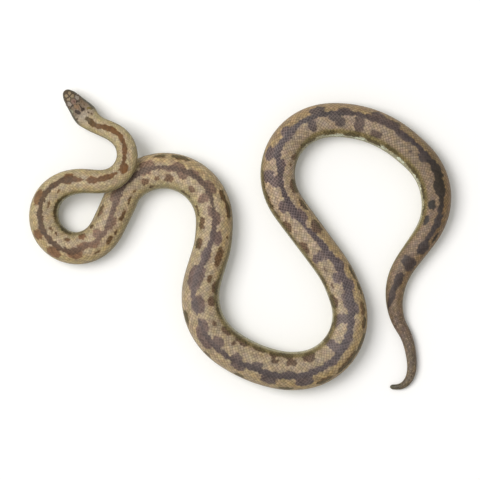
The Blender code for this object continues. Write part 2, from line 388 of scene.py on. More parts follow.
class Hide:
    """The animal's outer surface, read by the distance from the snout and the arc round from the top."""

    SPACING = 0.0005
    COLUMNS = 128
    # how many points a half section is worked out with
    TURNS = 361
    # how near a reading may come to the last row or column of the tables
    MARGIN = 0.001
    # where the middle of the back lies, in millimetres to the left of the top, as the body rolls
    ROLL = (
        (0, 0.0),
        (60, 0.0),
        (130, -2.6),
        (190, -3.6),
        (215, 0.0),
        (270, 3.0),
        (330, 2.6),
        (360, 0.0),
        (400, -4.2),
        (480, -4.8),
        (600, -3.2),
        (705, -1.6),
        (728, 4.0),
        (760, 6.5),
        (850, 6.0),
        (905, 3.0),
        (945, 0.0),
        (1047, 0.0),
    )

    def __init__(self, spine: Spine, form: Form) -> None:
        """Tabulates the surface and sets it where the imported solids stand.

        Args:
            spine: the line that the sections are set on.
            form: the sections.
        """
        self.spine, self.form = spine, form
        self.length = spine.length
        self.grid = np.arange(0.0, self.length - self.SPACING, self.SPACING)
        shares = np.linspace(0.0, 1.0, self.COLUMNS + 1)
        self.across, self.up, self.halves = self.half_rings(self.grid, shares)
        slide, climb = np.gradient(self.across, axis=1), np.gradient(self.up, axis=1)
        size = np.maximum(np.hypot(slide, climb), TINY)
        self.out_across, self.out_up = -climb / size, slide / size
        self.shift = np.zeros(3)
        low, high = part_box("eye_left")
        aside = self.beside_eye() - (high[2] - low[2]) / 2
        eye = self.place(*np.array([[form.eye_at], [aside], [form.eye_height]]))[0]
        self.shift = eye - (np.array(low) + np.array(high)) / 2

    def beside_eye(self) -> float:
        """How far out the eye's globe reaches."""
        form = self.form
        return float(form.width(form.eye_at, self.length)) / 2 + form.eye_bulge

    def half_rings(self, places: Array, shares: Array) -> tuple[Array, Array, Array]:
        """Sections with points at equal shares of the arc from the top to the belly.

        Args:
            places: distances from the snout.
            shares: shares of the arc, from 0 to 1.

        Returns:
            Arrays of across and up, and the length of each half section.
        """
        turns = np.linspace(0.0, math.pi, self.TURNS)
        across, up = self.form.sections(places, turns, self.length)
        runs = np.hypot(np.diff(across, axis=1), np.diff(up, axis=1))
        arcs = np.concatenate([np.zeros((len(across), 1)), np.cumsum(runs, axis=1)], axis=1)
        halves = arcs[:, -1]
        rows = [
            (np.interp(shares * half, arc, a), np.interp(shares * half, arc, u))
            for half, arc, a, u in zip(halves, arcs, across, up)
        ]
        return np.array([row[0] for row in rows]), np.array([row[1] for row in rows]), halves

    def half(self, places: Array) -> Array:
        """Length of the arc from the top to the belly at places."""
        return np.interp(places, self.grid, self.halves)

    def radius(self, places: Array) -> Array:
        """Half the width at places."""
        return self.form.width(places, self.length) / 2

    def roll(self, places: Array) -> Array:
        """How far to the left of the top the middle of the back lies, as an arc."""
        seen = smooth_through(self.ROLL, np.asarray(places) / MM) * MM
        radius = self.radius(places)
        return radius * np.arcsin(np.clip(seen / radius, -0.9, 0.9))

    def local(self, places: Array, arcs: Array, rises: Array | float, in_shares: bool) -> Pair:
        """Where points on or near the surface lie in their own sections.

        Args:
            places: distances from the snout.
            arcs: arcs from the top, positive down the left side.
            rises: heights over the surface, negative inside it.
            in_shares: whether arcs are shares of the half section instead of metres.

        Returns:
            Arrays of across to the left, and up from the belly's level.
        """
        half = 1.0 if in_shares else self.half(places)
        arcs = (arcs + half) % (2 * half) - half
        row = np.clip(places / self.SPACING, 0, len(self.grid) - 1 - self.MARGIN)
        column = np.clip(np.abs(arcs) / half * self.COLUMNS, 0, self.COLUMNS - self.MARGIN)
        i, j = row.astype(int), column.astype(int)
        down, along = row - i, column - j

        def read(table: Array) -> Array:
            """A table's value between its rows and columns."""
            near = table[i, j] * (1 - along) + table[i, j + 1] * along
            far = table[i + 1, j] * (1 - along) + table[i + 1, j + 1] * along
            return near * (1 - down) + far * down

        aside = read(self.across) + read(self.out_across) * rises
        return np.where(arcs < 0, -aside, aside), read(self.up) + read(self.out_up) * rises

    def place(self, places: Array, aside: Array, climb: Array) -> Array:
        """Puts points of the sections where they stand in the frame.

        Args:
            places: distances from the snout.
            aside: across to the left.
            climb: up from the belly's level.

        Returns:
            An array of points.
        """
        foot, _, left, up = self.spine.frames(places)
        return foot + left * aside[..., None] + up * climb[..., None] - self.shift

    def seen_from_above(self, places: Array, arcs: Array) -> Array:
        """The spine's places under points of the surface, which lean where the neck climbs."""
        climb = self.local(np.clip(places, 0.0, self.grid[-1]), arcs, 0.0, in_shares=False)[1]
        _, forward, _, _ = self.spine.frames(places)
        return places - climb * forward[..., 2]

    def at(self, places: Array, arcs: Array, rises: Array | float = 0.0, in_shares: bool = False) -> Array:
        """Points on or near the surface, in the frame, with the same arguments as local."""
        places = np.clip(places, 0.0, self.grid[-1])
        return self.place(places, *self.local(places, arcs, rises, in_shares))


# ---------------------------------------------------------------------------------------- finishes


class Value:
    """A socket's value in a material, which sums and products can be written on."""

    def __init__(self, shader: Shader, socket: Socket) -> None:
        """Keeps the socket and the material that it belongs to."""
        self.shader, self.socket = shader, socket

    def _math(self, operation: str, first: Any, second: Any) -> Value:
        """One Math node."""
        return self.shader.node("ShaderNodeMath", {"operation": operation}, {0: first, 1: second})

    def __add__(self, other: Any) -> Value:
        """The sum."""
        return self._math("ADD", self, other)

    __radd__ = __add__

    def __mul__(self, other: Any) -> Value:
        """The product."""
        return self._math("MULTIPLY", self, other)

    __rmul__ = __mul__

    def __sub__(self, other: Any) -> Value:
        """The difference."""
        return self._math("SUBTRACT", self, other)

    def __rsub__(self, other: Any) -> Value:
        """The difference the other way round."""
        return self._math("SUBTRACT", other, self)

    def __truediv__(self, other: Any) -> Value:
        """The quotient."""
        return self._math("DIVIDE", self, other)

    def __pow__(self, other: Any) -> Value:
        """The power."""
        return self._math("POWER", self, other)

    def eased(self, low: float, high: float) -> Value:
        """Goes smoothly from 0 at low to 1 at high."""
        ends = {"Value": self, 1: low, 2: high}
        return self.shader.node("ShaderNodeMapRange", {"interpolation_type": "SMOOTHSTEP"}, ends)


class Shader:
    """A material that is being made."""

    def __init__(self, name: str) -> None:
        """Starts a material with its Principled shader.

        Args:
            name: the material's name.
        """
        self.material = bpy.data.materials.new(name)
        self.material.use_nodes = True
        self.nodes = self.material.node_tree.nodes
        self.links = self.material.node_tree.links
        self.surface = self.nodes["Principled BSDF"]

    def node(self, kind: str, settings: dict[str, Any], values: dict[Any, Any], output: Any = 0) -> Value:
        """Adds a node.

        Args:
            kind: the node's type.
            settings: its own settings, which are set first.
            values: its inputs by name or number, as numbers, colours or other values.
            output: the output that is wanted, by name or number.

        Returns:
            The value of that output.
        """
        made = self.nodes.new(kind)
        for name, setting in settings.items():
            setattr(made, name, setting)
        for key, value in values.items():
            self.set(made.inputs[key], value)
        return Value(self, made.outputs[output])

    def set(self, socket: Socket, value: Any) -> None:
        """Links a value to a socket, or sets a number or colour on it."""
        if isinstance(value, Value):
            self.links.new(value.socket, socket)
        elif isinstance(value, tuple) and len(value) == 3 and socket.type == "RGBA":
            socket.default_value = (*value, 1.0)
        else:
            socket.default_value = value

    def finish(self, **values: Any) -> bpy.types.Material:
        """Sets the Principled shader's sockets, with _ for each space, and gives the material back."""
        for name, value in values.items():
            self.set(self.surface.inputs[name.replace("_", " ")], value)
        return self.material

    def mix(self, factor: Any, first: Any, second: Any) -> Value:
        """A mix of two colours."""
        return self.node("ShaderNodeMix", {"data_type": "RGBA"}, {0: factor, 6: first, 7: second}, 2)

    def scaled(self, colour: Value, factor: Value) -> Value:
        """A colour made lighter or darker."""
        return self.node("ShaderNodeVectorMath", {"operation": "SCALE"}, {0: colour, "Scale": factor})

    def tinted(self, colour: Value, by: Colour) -> Value:
        """A colour multiplied by another."""
        return self.node("ShaderNodeVectorMath", {"operation": "MULTIPLY"}, {0: colour, 1: by})

    def noise(self, scale: float, detail: float = 3.0, roughness: float = 0.55) -> Value:
        """Cloudy noise in the object's own space, with scale in waves to the metre."""
        where = self.node("ShaderNodeTexCoord", {}, {}, "Object")
        values = {"Vector": where, "Scale": scale, "Detail": detail, "Roughness": roughness}
        return self.node("ShaderNodeTexNoise", {}, values)

    def attribute(self, name: str, output: str = "Fac") -> Value:
        """A value that the mesh carries at its points."""
        return self.node("ShaderNodeAttribute", {"attribute_name": name}, {}, output)

    def bump(self, height: Value, distance: float, strength: float = 1.0) -> Value:
        """A Bump node's normal."""
        values = {"Height": height, "Distance": distance, "Strength": strength}
        return self.node("ShaderNodeBump", {}, values, "Normal")


@dataclass(frozen=True)
class ScaleFinish:
    """Dry satin scale: its colour comes with the mesh, and the shader adds grain, edges and sheen."""

    name: str
    roughness: float = 0.50
    sheen_spread: float = 0.10
    # how much the tones and the rims that the mesh carries lighten or darken it
    tone_depth: float = 0.44
    rim_depth: float = 0.60
    # the grain and the mottle: waves to the metre, and how strong they are
    grain: float = 900.0
    grain_depth: float = 0.56
    mottle: float = 260.0
    mottle_depth: float = 0.14
    # the colour drifts between a warmer and a cooler cast
    drift: float = 190.0
    drift_reach: tuple[float, float] = (0.35, 0.65)
    warm: Colour = (1.025, 0.99, 0.97)
    cool: Colour = (0.98, 1.005, 1.01)
    relief: float = 0.00006
    gloss: float = 0.28

    def make(self) -> bpy.types.Material:
        """Makes the material."""
        shader = Shader(self.name)
        tint = shader.attribute("tint", "Color")
        grain = shader.noise(self.grain)
        mottle = shader.noise(self.mottle, 4.0)
        light = 1.0 + shader.attribute("tone") * self.tone_depth
        light = light + (mottle - 0.5) * self.mottle_depth + (grain - 0.5) * self.grain_depth
        light = light * (1.0 - shader.attribute("rim") * self.rim_depth)
        drift = shader.noise(self.drift, 2.0).eased(*self.drift_reach)
        tint = shader.mix(drift, shader.tinted(tint, self.warm), shader.tinted(tint, self.cool))
        return shader.finish(
            Base_Color=shader.scaled(tint, light),
            Roughness=self.roughness + (grain - 0.5) * (2 * self.sheen_spread),
            Specular_IOR_Level=self.gloss,
            Normal=shader.bump(grain, self.relief),
        )


@dataclass(frozen=True)
class EyeFinish:
    """A clear-capped eye with a bronze iris and an upright slit pupil."""

    name: str = "eye_wet"
    iris_outer: Colour = (0.055, 0.032, 0.014)
    iris_inner: Colour = (0.26, 0.17, 0.07)
    pupil: Colour = (0.004, 0.004, 0.004)
    # the pupil's half width and half height, as shares of the opening, and how soft its edge is
    slit: tuple[float, float] = (0.14, 0.62)
    slit_edge: tuple[float, float] = (0.8, 1.25)
    # where the iris goes from its inner to its outer colour, as squares of shares of the opening
    iris_reach: tuple[float, float] = (0.02, 0.55)
    # the iris's flecks: waves to the metre, where they begin and how strong they are
    fleck: float = 3200.0
    fleck_from: float = 0.42
    fleck_depth: float = 1.6

    def make(self) -> bpy.types.Material:
        """Makes the material."""
        shader = Shader(self.name)
        gaze = shader.attribute("gaze", "Vector")
        ahead, over = (shader.node("ShaderNodeSeparateXYZ", {}, {"Vector": gaze}, axis) for axis in "XY")
        slit = (ahead / self.slit[0]) ** 2.0 + (over / self.slit[1]) ** 2.0
        out = (ahead**2.0 + over**2.0).eased(*self.iris_reach)
        fleck = shader.noise(self.fleck, 2.0)
        iris = shader.mix(out, self.iris_inner, self.iris_outer)
        iris = shader.mix((fleck - self.fleck_from) * self.fleck_depth, iris, self.iris_outer)
        colour = shader.mix(slit.eased(*self.slit_edge), self.pupil, iris)
        return shader.finish(
            Base_Color=colour, Roughness=0.12, Specular_IOR_Level=0.5, Coat_Weight=1.0, Coat_Roughness=0.03
        )


@dataclass(frozen=True)
class FloorFinish:
    """Plain pale matt floor."""

    name: str = "studio_floor"
    colour: Colour = (0.95, 0.95, 0.95)

    def make(self) -> bpy.types.Material:
        """Makes the material."""
        return Shader(self.name).finish(Base_Color=self.colour, Roughness=0.9, Specular_IOR_Level=0.1)


# ---------------------------------------------------------------------------------------- markings


class HeadTone(Enum):
    """The colours that the head is marked in, as linear red, green and blue."""

    DARK = (0.030, 0.014, 0.004)
    WARM = (0.195, 0.113, 0.055)
    RUST = (0.095, 0.042, 0.026)
    MAUVE = (0.172, 0.106, 0.076)
    TAN = (0.262, 0.194, 0.112)
    PALE = (0.245, 0.212, 0.174)
    GOLD = (0.170, 0.125, 0.040)
    BROWN = (0.110, 0.076, 0.042)
    BAR = (0.078, 0.060, 0.040)
    SUTURE = (0.070, 0.042, 0.022)
    SNOUT = (0.074, 0.054, 0.031)
    TEMPLE = (0.255, 0.245, 0.165)


@dataclass(frozen=True)
class Markings:
    """The blotched pattern, drawn on the back as it is seen from above.

    The ridge is the joined line of blotches down the back: (from snout, left of the spine, half breadth).
    Lobes stand off it and spots lie along the flanks: (from snout, left of the spine, half length, half
    breadth). All are in millimetres.
    """

    plates: "HeadPlates"
    ridge: Table = (
        (24.3, -0.9, 0.4), (26.6, -1.0, 1.7), (31, -0.9, 2.2), (36, -1.0, 1.9), (40, 0.4, 2.1),
        (44, 1.0, 2.2), (50, 1.0, 2.0), (58, 0.1, 1.6), (66, -1.5, 1.9), (73, -2.1, 1.6),
        (84, -1.8, 1.0), (87, -1.9, 0.0), (88.5, -1.8, 0.7), (91, -2.2, 1.5), (96, -2.3, 1.9),
        (103, -1.5, 1.5), (108, -1.1, 2.4), (112, -0.9, 1.5), (115, -1.0, 0.0),
        (118, -0.9, 1.7), (127, -2.6, 3.0), (133, -3.0, 2.1), (150, -3.0, 1.9), (165, -2.8, 2.0),
        (181, -2.6, 2.0), (192, -3.0, 1.5), (199, -2.8, 2.6), (207, 0.6, 2.2), (215, 0.1, 1.7),
        (230, -0.2, 1.7), (245, 1.8, 2.1), (262, 3.0, 2.4), (280, 3.0, 2.0), (300, 2.3, 1.6),
        (325, 3.2, 2.2), (337, 2.4, 1.8), (344, 0.7, 1.0), (362, -0.2, 1.9), (385, -2.8, 2.2),
        (400, -4.8, 2.5), (413, -5.5, 1.6), (422, -4.0, 2.5), (428, -4.3, 0.8), (430, -4.5, 0.0),
        (433, -4.0, 1.0), (450, -4.8, 2.0), (465, -5.0, 1.8), (485, -4.0, 2.0), (505, -4.0, 2.4),
        (520, -3.6, 2.2), (540, -2.4, 1.9), (560, -1.3, 2.7), (575, -0.8, 2.6), (590, -1.6, 3.0),
        (600, -3.0, 2.8), (625, -4.0, 2.6), (645, -3.3, 2.4), (657, -1.4, 1.2), (672, -1.8, 2.6),
        (692, -2.4, 1.6), (708, -1.8, 2.0), (716, 2.0, 2.6), (724, 3.4, 2.3), (745, 4.3, 1.8),
        (765, 4.8, 2.0), (782, 5.4, 1.8), (800, 5.6, 2.2), (833, 5.7, 1.8), (850, 5.0, 2.6),
        (865, 3.8, 2.6), (876, 3.7, 1.7), (898, 2.9, 2.2), (907, 2.3, 1.6), (915, 3.2, 2.5),
        (921, 3.0, 0.0), (937, 1.0, 0.0), (945, 0.5, 2.0), (952, -0.9, 2.2), (958, -2.3, 2.5),
        (963, -3.9, 2.2), (967, -5.2, 0.6), (969, -5.5, 0.0),
    )
    lobes: Table = (
        (81.5, 0.5, 4.0, 2.7), (97, -2.3, 6.5, 2.0), (109, -1.0, 4.0, 2.7), (127, -2.8, 4.2, 3.8),
        (151, -6.0, 4.8, 3.4), (162, -2.6, 5.0, 2.2), (172.5, -6.5, 3.2, 3.8), (181, -2.4, 4.5, 2.1),
        (186.5, -7.4, 4.3, 3.4), (199.5, -3.8, 5.2, 3.9), (206, 0.8, 4.2, 3.0), (215, -1.0, 4.2, 2.4),
        (221.5, 3.8, 4.0, 3.2), (235, -1.6, 4.8, 2.8), (255, 3.6, 6.0, 4.0), (286, 5.0, 5.2, 4.2),
        (284, 1.0, 4.5, 1.8), (302, 2.0, 4.0, 2.4), (307, 4.6, 4.2, 3.0), (312, 0.0, 4.4, 3.2),
        (319, 4.2, 4.0, 2.4), (333, 5.2, 5.0, 3.0), (337.5, -3.6, 3.8, 4.8), (350, -1.6, 4.8, 2.6),
        (355.5, 2.0, 5.2, 2.8), (370, 3.2, 5.0, 3.2), (383.5, -2.9, 6.0, 3.5), (402, -5.2, 9.0, 5.4),
        (398, -2.2, 5.0, 2.8), (421, -2.2, 6.6, 5.0), (437, -2.6, 5.2, 3.4), (444.5, -7.2, 8.5, 3.5),
        (453, -1.2, 4.8, 4.3), (471, -2.0, 3.8, 3.0), (474, -6.6, 6.0, 3.2), (487, -1.4, 4.0, 3.2),
        (497.5, -7.6, 5.6, 3.6), (511, -2.2, 5.0, 2.4), (522, -7.2, 6.0, 4.0), (530, -2.0, 5.0, 2.4),
        (545, -3.8, 5.0, 2.0), (554.5, 5.2, 4.0, 8.4), (563, -3.0, 5.0, 2.0), (576, 10.0, 5.5, 2.4),
        (579.5, 5.0, 4.0, 7.0), (587, -4.2, 4.0, 2.8), (594, 0.8, 6.0, 3.2), (604, -5.6, 4.6, 2.8),
        (612.5, 0.8, 4.6, 3.4), (621, -5.6, 5.0, 2.8), (633.5, 3.2, 3.4, 6.0), (633, -0.8, 4.6, 2.6),
        (666.5, -4.4, 5.8, 3.0), (672, 0.0, 6.0, 2.6), (679.5, 2.8, 4.2, 3.9),
        (698.5, 1.8, 4.4, 4.2), (702.5, 6.4, 4.2, 4.0),
        (710, -2.8, 6.0, 2.4), (717, 8.0, 4.6, 3.2), (720, 4.4, 5.0, 3.4), (735, 3.0, 6.5, 3.2),
        (734.5, 6.6, 3.6, 2.8), (752.5, -0.6, 3.2, 5.4), (759, 7.6, 5.0, 3.2), (770.5, 2.2, 4.2, 3.0),
        (774.5, -1.6, 4.4, 3.4), (777, 6.8, 5.0, 2.4), (789.5, -1.4, 3.9, 6.6), (801, 8.0, 4.6, 3.2),
        (811.5, 6.6, 6.0, 3.0), (823, 4.8, 6.0, 2.6), (844, 3.0, 4.6, 3.8), (856.5, 6.0, 6.5, 2.6),
        (868.5, 3.0, 6.4, 4.2), (892, 3.6, 6.0, 2.6), (914.5, 3.4, 5.6, 3.6), (931, 3.0, 5.4, 3.6),
        (929.5, -0.4, 4.2, 3.8), (944.5, 0.4, 5.4, 3.2),
    )
    spots: Table = (
        (25.2, 3.2, 1.4, 0.6), (26.8, 4.1, 1.3, 0.8), (137, 2.8, 1.6, 0.6), (151, 2.8, 4.0, 0.6),
        (174, 3.2, 2.0, 1.0), (180, 4.0, 1.6, 0.5),
        (192, 5.2, 2.4, 1.1), (207, 7.8, 4.2, 2.0), (224, 10.3, 2.8, 0.9), (239, 9.6, 4.8, 1.3),
        (146, 8.3, 14.0, 1.0), (184, 10.0, 9.0, 1.2), (214, -7.2, 2.0, 0.8), (224, -6.3, 3.2, 1.7),
        (231, -7.2, 2.0, 0.6), (243.5, -6.5, 4.6, 1.4), (257, -6.3, 4.4, 0.9), (267, -6.0, 3.0, 0.6),
        (280, -5.0, 3.6, 2.0), (291.5, -5.0, 2.5, 1.8), (302, -5.3, 3.9, 2.9), (324.5, -6.0, 3.5, 1.9),
        (284, -10.0, 3.5, 0.8), (322, -11.4, 5.5, 0.8), (359, -9.0, 5.6, 1.9), (376, -10.0, 5.2, 2.3),
        (295, 10.8, 3.4, 1.3), (307, 11.2, 5.2, 1.5), (342, 9.8, 4.0, 1.7), (351, 10.8, 5.2, 1.6),
        (383, 6.7, 6.6, 2.4), (369, 10.0, 1.0, 0.6), (400.5, 4.9, 3.2, 1.6), (406, 9.7, 5.6, 2.0),
        (420, 7.9, 4.4, 2.6), (439, 5.3, 3.0, 1.3), (451, 8.9, 5.6, 2.0), (468, 9.6, 6.2, 2.2),
        (463, 5.6, 1.7, 2.2), (484, 10.4, 6.4, 1.3), (496.5, 10.0, 4.2, 1.8), (499, 5.6, 3.0, 1.8),
        (506, 11.2, 7.0, 1.6), (513.5, 6.3, 4.6, 2.4), (427.5, -12.4, 4.6, 1.4), (453, -12.9, 2.4, 0.7),
        (478, -12.9, 4.0, 1.0), (510, -12.9, 4.4, 1.0), (530, 8.6, 6.4, 3.6), (596, 9.8, 6.2, 2.6),
        (609, 6.8, 1.5, 0.8), (623, 5.5, 1.6, 0.7), (615, 11.0, 8.0, 1.0), (634, 11.0, 4.5, 0.8),
        (645.5, 7.9, 5.2, 2.1), (534.5, -11.4, 5.0, 1.7), (551.5, -10.9, 8.0, 1.9), (565, -11.9, 6.5, 1.1),
        (577.5, -10.5, 3.4, 1.4), (586.5, -9.7, 3.6, 1.7), (600, -11.2, 4.4, 0.9), (612, -10.9, 5.4, 1.1),
        (653, -7.8, 5.4, 3.4), (666, 9.0, 4.8, 2.4), (677, 10.5, 3.2, 0.9), (688, 10.4, 6.4, 1.2),
        (656, 11.2, 5.4, 0.7), (672.5, -9.9, 5.2, 1.6), (691.5, -10.2, 7.6, 2.3), (713, -8.8, 1.6, 0.8),
        (722, -9.5, 3.8, 1.9), (736, -10.0, 4.2, 1.1), (746, -10.6, 5.8, 1.2), (766, -9.3, 5.8, 1.6),
        (785, -9.8, 7.0, 1.4), (804.5, -4.4, 4.9, 2.8), (805, -10.3, 7.0, 1.3), (822, -8.4, 7.0, 1.3),
        (834, -1.2, 1.8, 1.0), (848, -9.2, 9.0, 1.2), (881.5, -3.7, 3.9, 2.6), (870, -9.4, 7.0, 0.9),
        (801, 9.8, 3.6, 1.4), (813, 9.4, 4.0, 0.8),
        (895, -5.0, 3.8, 1.8), (903, 6.9, 3.4, 1.0), (887, -8.9, 4.0, 0.9), (404, 11.2, 8.0, 0.9),
        (430, 11.4, 8.0, 0.8), (463, 11.3, 8.0, 0.8), (497.5, 8.2, 2.0, 2.4), (511, 10.6, 4.4, 2.0),
        (566, 12.4, 9.0, 0.7), (150, 8.2, 18.0, 0.9), (700, 10.9, 7.0, 0.7), (345, -11.0, 6.0, 0.7),
    )
    # pale marks low on the right, where the belly's colour shows
    pale_marks: Table = (
        (772, -11.0, 4.5, 0.9), (791, -11.1, 5.0, 0.8), (812, -10.8, 5.0, 0.9), (833, -10.6, 3.0, 0.8),
        (853, -10.5, 4.0, 0.9), (866, -10.3, 3.0, 0.8),
    )
    # from snout, left of the middle, half length, half breadth, colour
    head_marks: tuple[tuple[float, float, float, float, HeadTone], ...] = (
        (10.6, 0.0, 1.1, 0.9, HeadTone.RUST),
        (14.4, -0.8, 2.6, 2.4, HeadTone.WARM),
        (12.7, 3.1, 0.6, 2.0, HeadTone.BAR),
        (12.8, -4.3, 0.7, 2.3, HeadTone.BAR),
        (8.3, 0.0, 0.5, 3.6, HeadTone.BROWN),
        (17.2, 1.6, 1.5, 0.9, HeadTone.DARK),
        (19.4, 1.3, 1.6, 1.5, HeadTone.DARK),
        (17.2, -3.5, 1.5, 1.1, HeadTone.DARK),
        (19.2, -2.7, 1.9, 1.5, HeadTone.DARK),
        (21.6, 4.9, 1.1, 1.0, HeadTone.GOLD),
        (22.8, 5.9, 1.2, 1.0, HeadTone.GOLD),
        (23.8, 6.8, 1.2, 0.9, HeadTone.BROWN),
        (22.0, -6.6, 0.9, 1.6, HeadTone.BROWN),
        (24.3, 3.0, 1.2, 0.6, HeadTone.BAR),
        (26.4, 3.9, 1.3, 0.8, HeadTone.BAR),
        (15.2, 1.9, 0.7, 0.4, HeadTone.BROWN),
        (13.9, 0.9, 0.8, 0.4, HeadTone.BROWN),
        (14.6, 4.4, 0.6, 0.4, HeadTone.BROWN),
        (17.3, 4.2, 0.9, 0.5, HeadTone.BROWN),
        (16.0, -5.2, 0.8, 0.5, HeadTone.BROWN),
        (19.2, -5.0, 0.7, 0.5, HeadTone.BROWN),
        (18.0, -0.8, 1.4, 0.4, HeadTone.WARM),
        (3.2, 0.0, 3.0, 0.45, HeadTone.SUTURE),
        (5.4, 0.0, 0.45, 3.4, HeadTone.SUTURE),
        (12.3, 1.8, 0.6, 0.9, HeadTone.DARK),
        (12.2, -2.8, 0.6, 1.1, HeadTone.DARK),
        (13.6, 0.1, 1.0, 0.4, HeadTone.SUTURE),
        (15.3, 1.5, 1.1, 0.5, HeadTone.DARK),
        (15.6, -1.9, 0.9, 0.4, HeadTone.SUTURE),
        (15.0, -5.6, 2.4, 0.9, HeadTone.TEMPLE),
    )
    head_run: Table = (
        (0, 0.090, 0.072, 0.046),
        (3, 0.112, 0.090, 0.058),
        (8, 0.122, 0.092, 0.066),
        (13, 0.152, 0.108, 0.069),
        (17, 0.188, 0.138, 0.092),
        (21, 0.275, 0.216, 0.152),
        (25, 0.395, 0.330, 0.245),
        (32, 0.395, 0.315, 0.188),
    )
    # the dusky band along the side of the head, where it begins and ends from the top to the chin, and
    # where and how far it fades behind the mouth
    band: Colour = (0.085, 0.078, 0.050)
    band_reach: tuple[float, float, float, float] = (0.28, 0.37, 0.49, 0.56)
    band_fade: tuple[float, float, float] = (22.0, 30.0, 0.6)
    # how strong the plates' own colours are, and how far in from their borders they come in
    plate_depth: float = 0.9
    plate_reach: tuple[float, float] = (0.12, 0.75)
    # how dark the seams between the plates are, how broad, and where they fade out
    seam: tuple[float, float] = (0.85, 0.40)
    seam_fade: tuple[float, float] = (8.0, 16.0)
    # how softly the head's marks begin, and the share of the arc that they end at
    mark_edge: tuple[float, float] = (-0.10, 0.30)
    mark_side: float = 0.52
    # the head's fine mottling: how strong, and how close
    head_mottle: tuple[float, float] = (0.09, 2.9)
    head_wobble: float = 0.25
    lip: Colour = (0.400, 0.360, 0.240)
    # where the head's colours give way to the body's, and to the ridge line's
    nape: tuple[float, float] = (21.0, 31.0)
    line_nape: tuple[float, float] = (24.2, 26.0)
    # colour of the ground and of the blotches at distances from the snout
    ground_run: Table = (
        (0, 0.195, 0.140, 0.090),
        (22, 0.290, 0.220, 0.145),
        (30, 0.430, 0.340, 0.205),
        (110, 0.395, 0.305, 0.185),
        (250, 0.415, 0.320, 0.205),
        (330, 0.425, 0.330, 0.210),
        (430, 0.380, 0.295, 0.190),
        (520, 0.345, 0.265, 0.170),
        (600, 0.400, 0.310, 0.210),
        (700, 0.405, 0.305, 0.210),
        (735, 0.325, 0.245, 0.165),
        (780, 0.325, 0.245, 0.170),
        (850, 0.230, 0.165, 0.105),
        (885, 0.220, 0.150, 0.095),
        (920, 0.240, 0.170, 0.115),
        (960, 0.215, 0.150, 0.095),
        (985, 0.180, 0.125, 0.090),
        (1005, 0.175, 0.130, 0.090),
        (1030, 0.150, 0.115, 0.075),
        (1040, 0.095, 0.085, 0.055),
        (1047, 0.085, 0.080, 0.050),
    )
    blotch_run: Table = (
        (0, 0.052, 0.032, 0.024),
        (24, 0.074, 0.048, 0.018),
        (32, 0.096, 0.052, 0.016),
        (40, 0.114, 0.052, 0.012),
        (66, 0.126, 0.060, 0.022),
        (120, 0.130, 0.064, 0.024),
        (160, 0.144, 0.082, 0.038),
        (200, 0.154, 0.086, 0.048),
        (230, 0.148, 0.094, 0.066),
        (340, 0.134, 0.088, 0.064),
        (380, 0.112, 0.078, 0.070),
        (440, 0.112, 0.080, 0.070),
        (500, 0.076, 0.058, 0.054),
        (570, 0.104, 0.082, 0.080),
        (640, 0.092, 0.070, 0.068),
        (700, 0.074, 0.054, 0.052),
        (740, 0.068, 0.052, 0.050),
        (765, 0.056, 0.044, 0.040),
        (800, 0.084, 0.060, 0.052),
        (830, 0.064, 0.048, 0.046),
        (864, 0.030, 0.022, 0.014),
        (900, 0.052, 0.040, 0.036),
        (930, 0.052, 0.038, 0.034),
        (960, 0.050, 0.036, 0.030),
        (1047, 0.042, 0.032, 0.028),
    )
    spot_colour: Colour = (0.094, 0.052, 0.022)
    # along the body: how dark brown the spots on the left and on the right are
    spot_depth: Table = (
        (0, 1.0, 1.0),
        (185, 0.8, 1.0),
        (205, 0.0, 1.0),
        (265, 0.4, 1.0),
        (280, 1.0, 0.2),
        (330, 1.0, 0.2),
        (355, 1.0, 0.7),
        (390, 0.9, 0.8),
        (430, 0.5, 1.0),
        (620, 0.5, 0.8),
        (660, 0.6, 0.4),
        (700, 0.5, 0.6),
        (790, 0.5, 0.6),
        (800, 0.0, 0.0),
        (1047, 0.0, 0.0),
    )
    # along the body: how light the spots are
    spot_shade: Table = (
        (0, 1.0),
        (850, 1.0),
        (875, 0.5),
        (900, 0.6),
        (930, 1.0),
    )
    # how the spots, the lobes and the ridge line are warmer or cooler than the blotches' colour
    spot_warmth: Colour = (1.00, 0.94, 0.82)
    lobe_warmth: Colour = (1.04, 1.00, 0.95)
    line_warmth: Colour = (0.99, 0.99, 1.01)
    # painted light: a warm golden cast, as seen from above, that stands in for bounce light on the edges
    # turned away
    gold: Colour = (1.01, 0.925, 0.68)
    warm_bounce_reach: tuple[float, float] = (0.22, 0.62)
    # along the body: how strongly the ground is painted golden towards the left and the right edge, as
    # painted warm bounce light
    painted_warm_bounce: Table = (
        (0, 0.0, 0.0),
        (130, 0.2, 0.0),
        (200, 0.0, 0.5),
        (270, 0.2, 0.3),
        (300, 0.6, 0.0),
        (380, 0.6, 0.0),
        (420, 0.1, 0.1),
        (500, 0.1, 0.5),
        (530, 0.0, 0.9),
        (640, 0.1, 0.9),
        (690, 0.2, 0.4),
        (730, 0.8, 0.1),
        (930, 0.9, 0.1),
        (980, 0.2, 0.0),
    )
    green: Colour = (0.93, 1.00, 0.80)
    green_reach: tuple[float, float] = (0.40, 0.80)
    # along the body: how green the ground is towards the left and the right edge
    greening: Table = (
        (0, 0.0, 0.0),
        (30, 0.5, 0.5),
        (110, 0.5, 0.5),
        (180, 0.5, 0.4),
        (240, 0.3, 0.5),
        (300, 0.0, 0.8),
        (350, 0.0, 0.7),
        (400, 0.0, 0.1),
        (450, 0.0, 0.0),
        (1047, 0.0, 0.0),
    )
    # the flank's olive, made darker than its own colour as painted shade on the lower flanks
    flank: Colour = (0.195, 0.150, 0.056)
    flank_spot: Colour = (0.074, 0.055, 0.020)
    # how far out, as seen from above, the spots turn olive
    edge_reach: tuple[float, float] = (0.66, 0.88)
    cream: Colour = (0.410, 0.380, 0.240)
    white: Colour = (0.640, 0.660, 0.500)
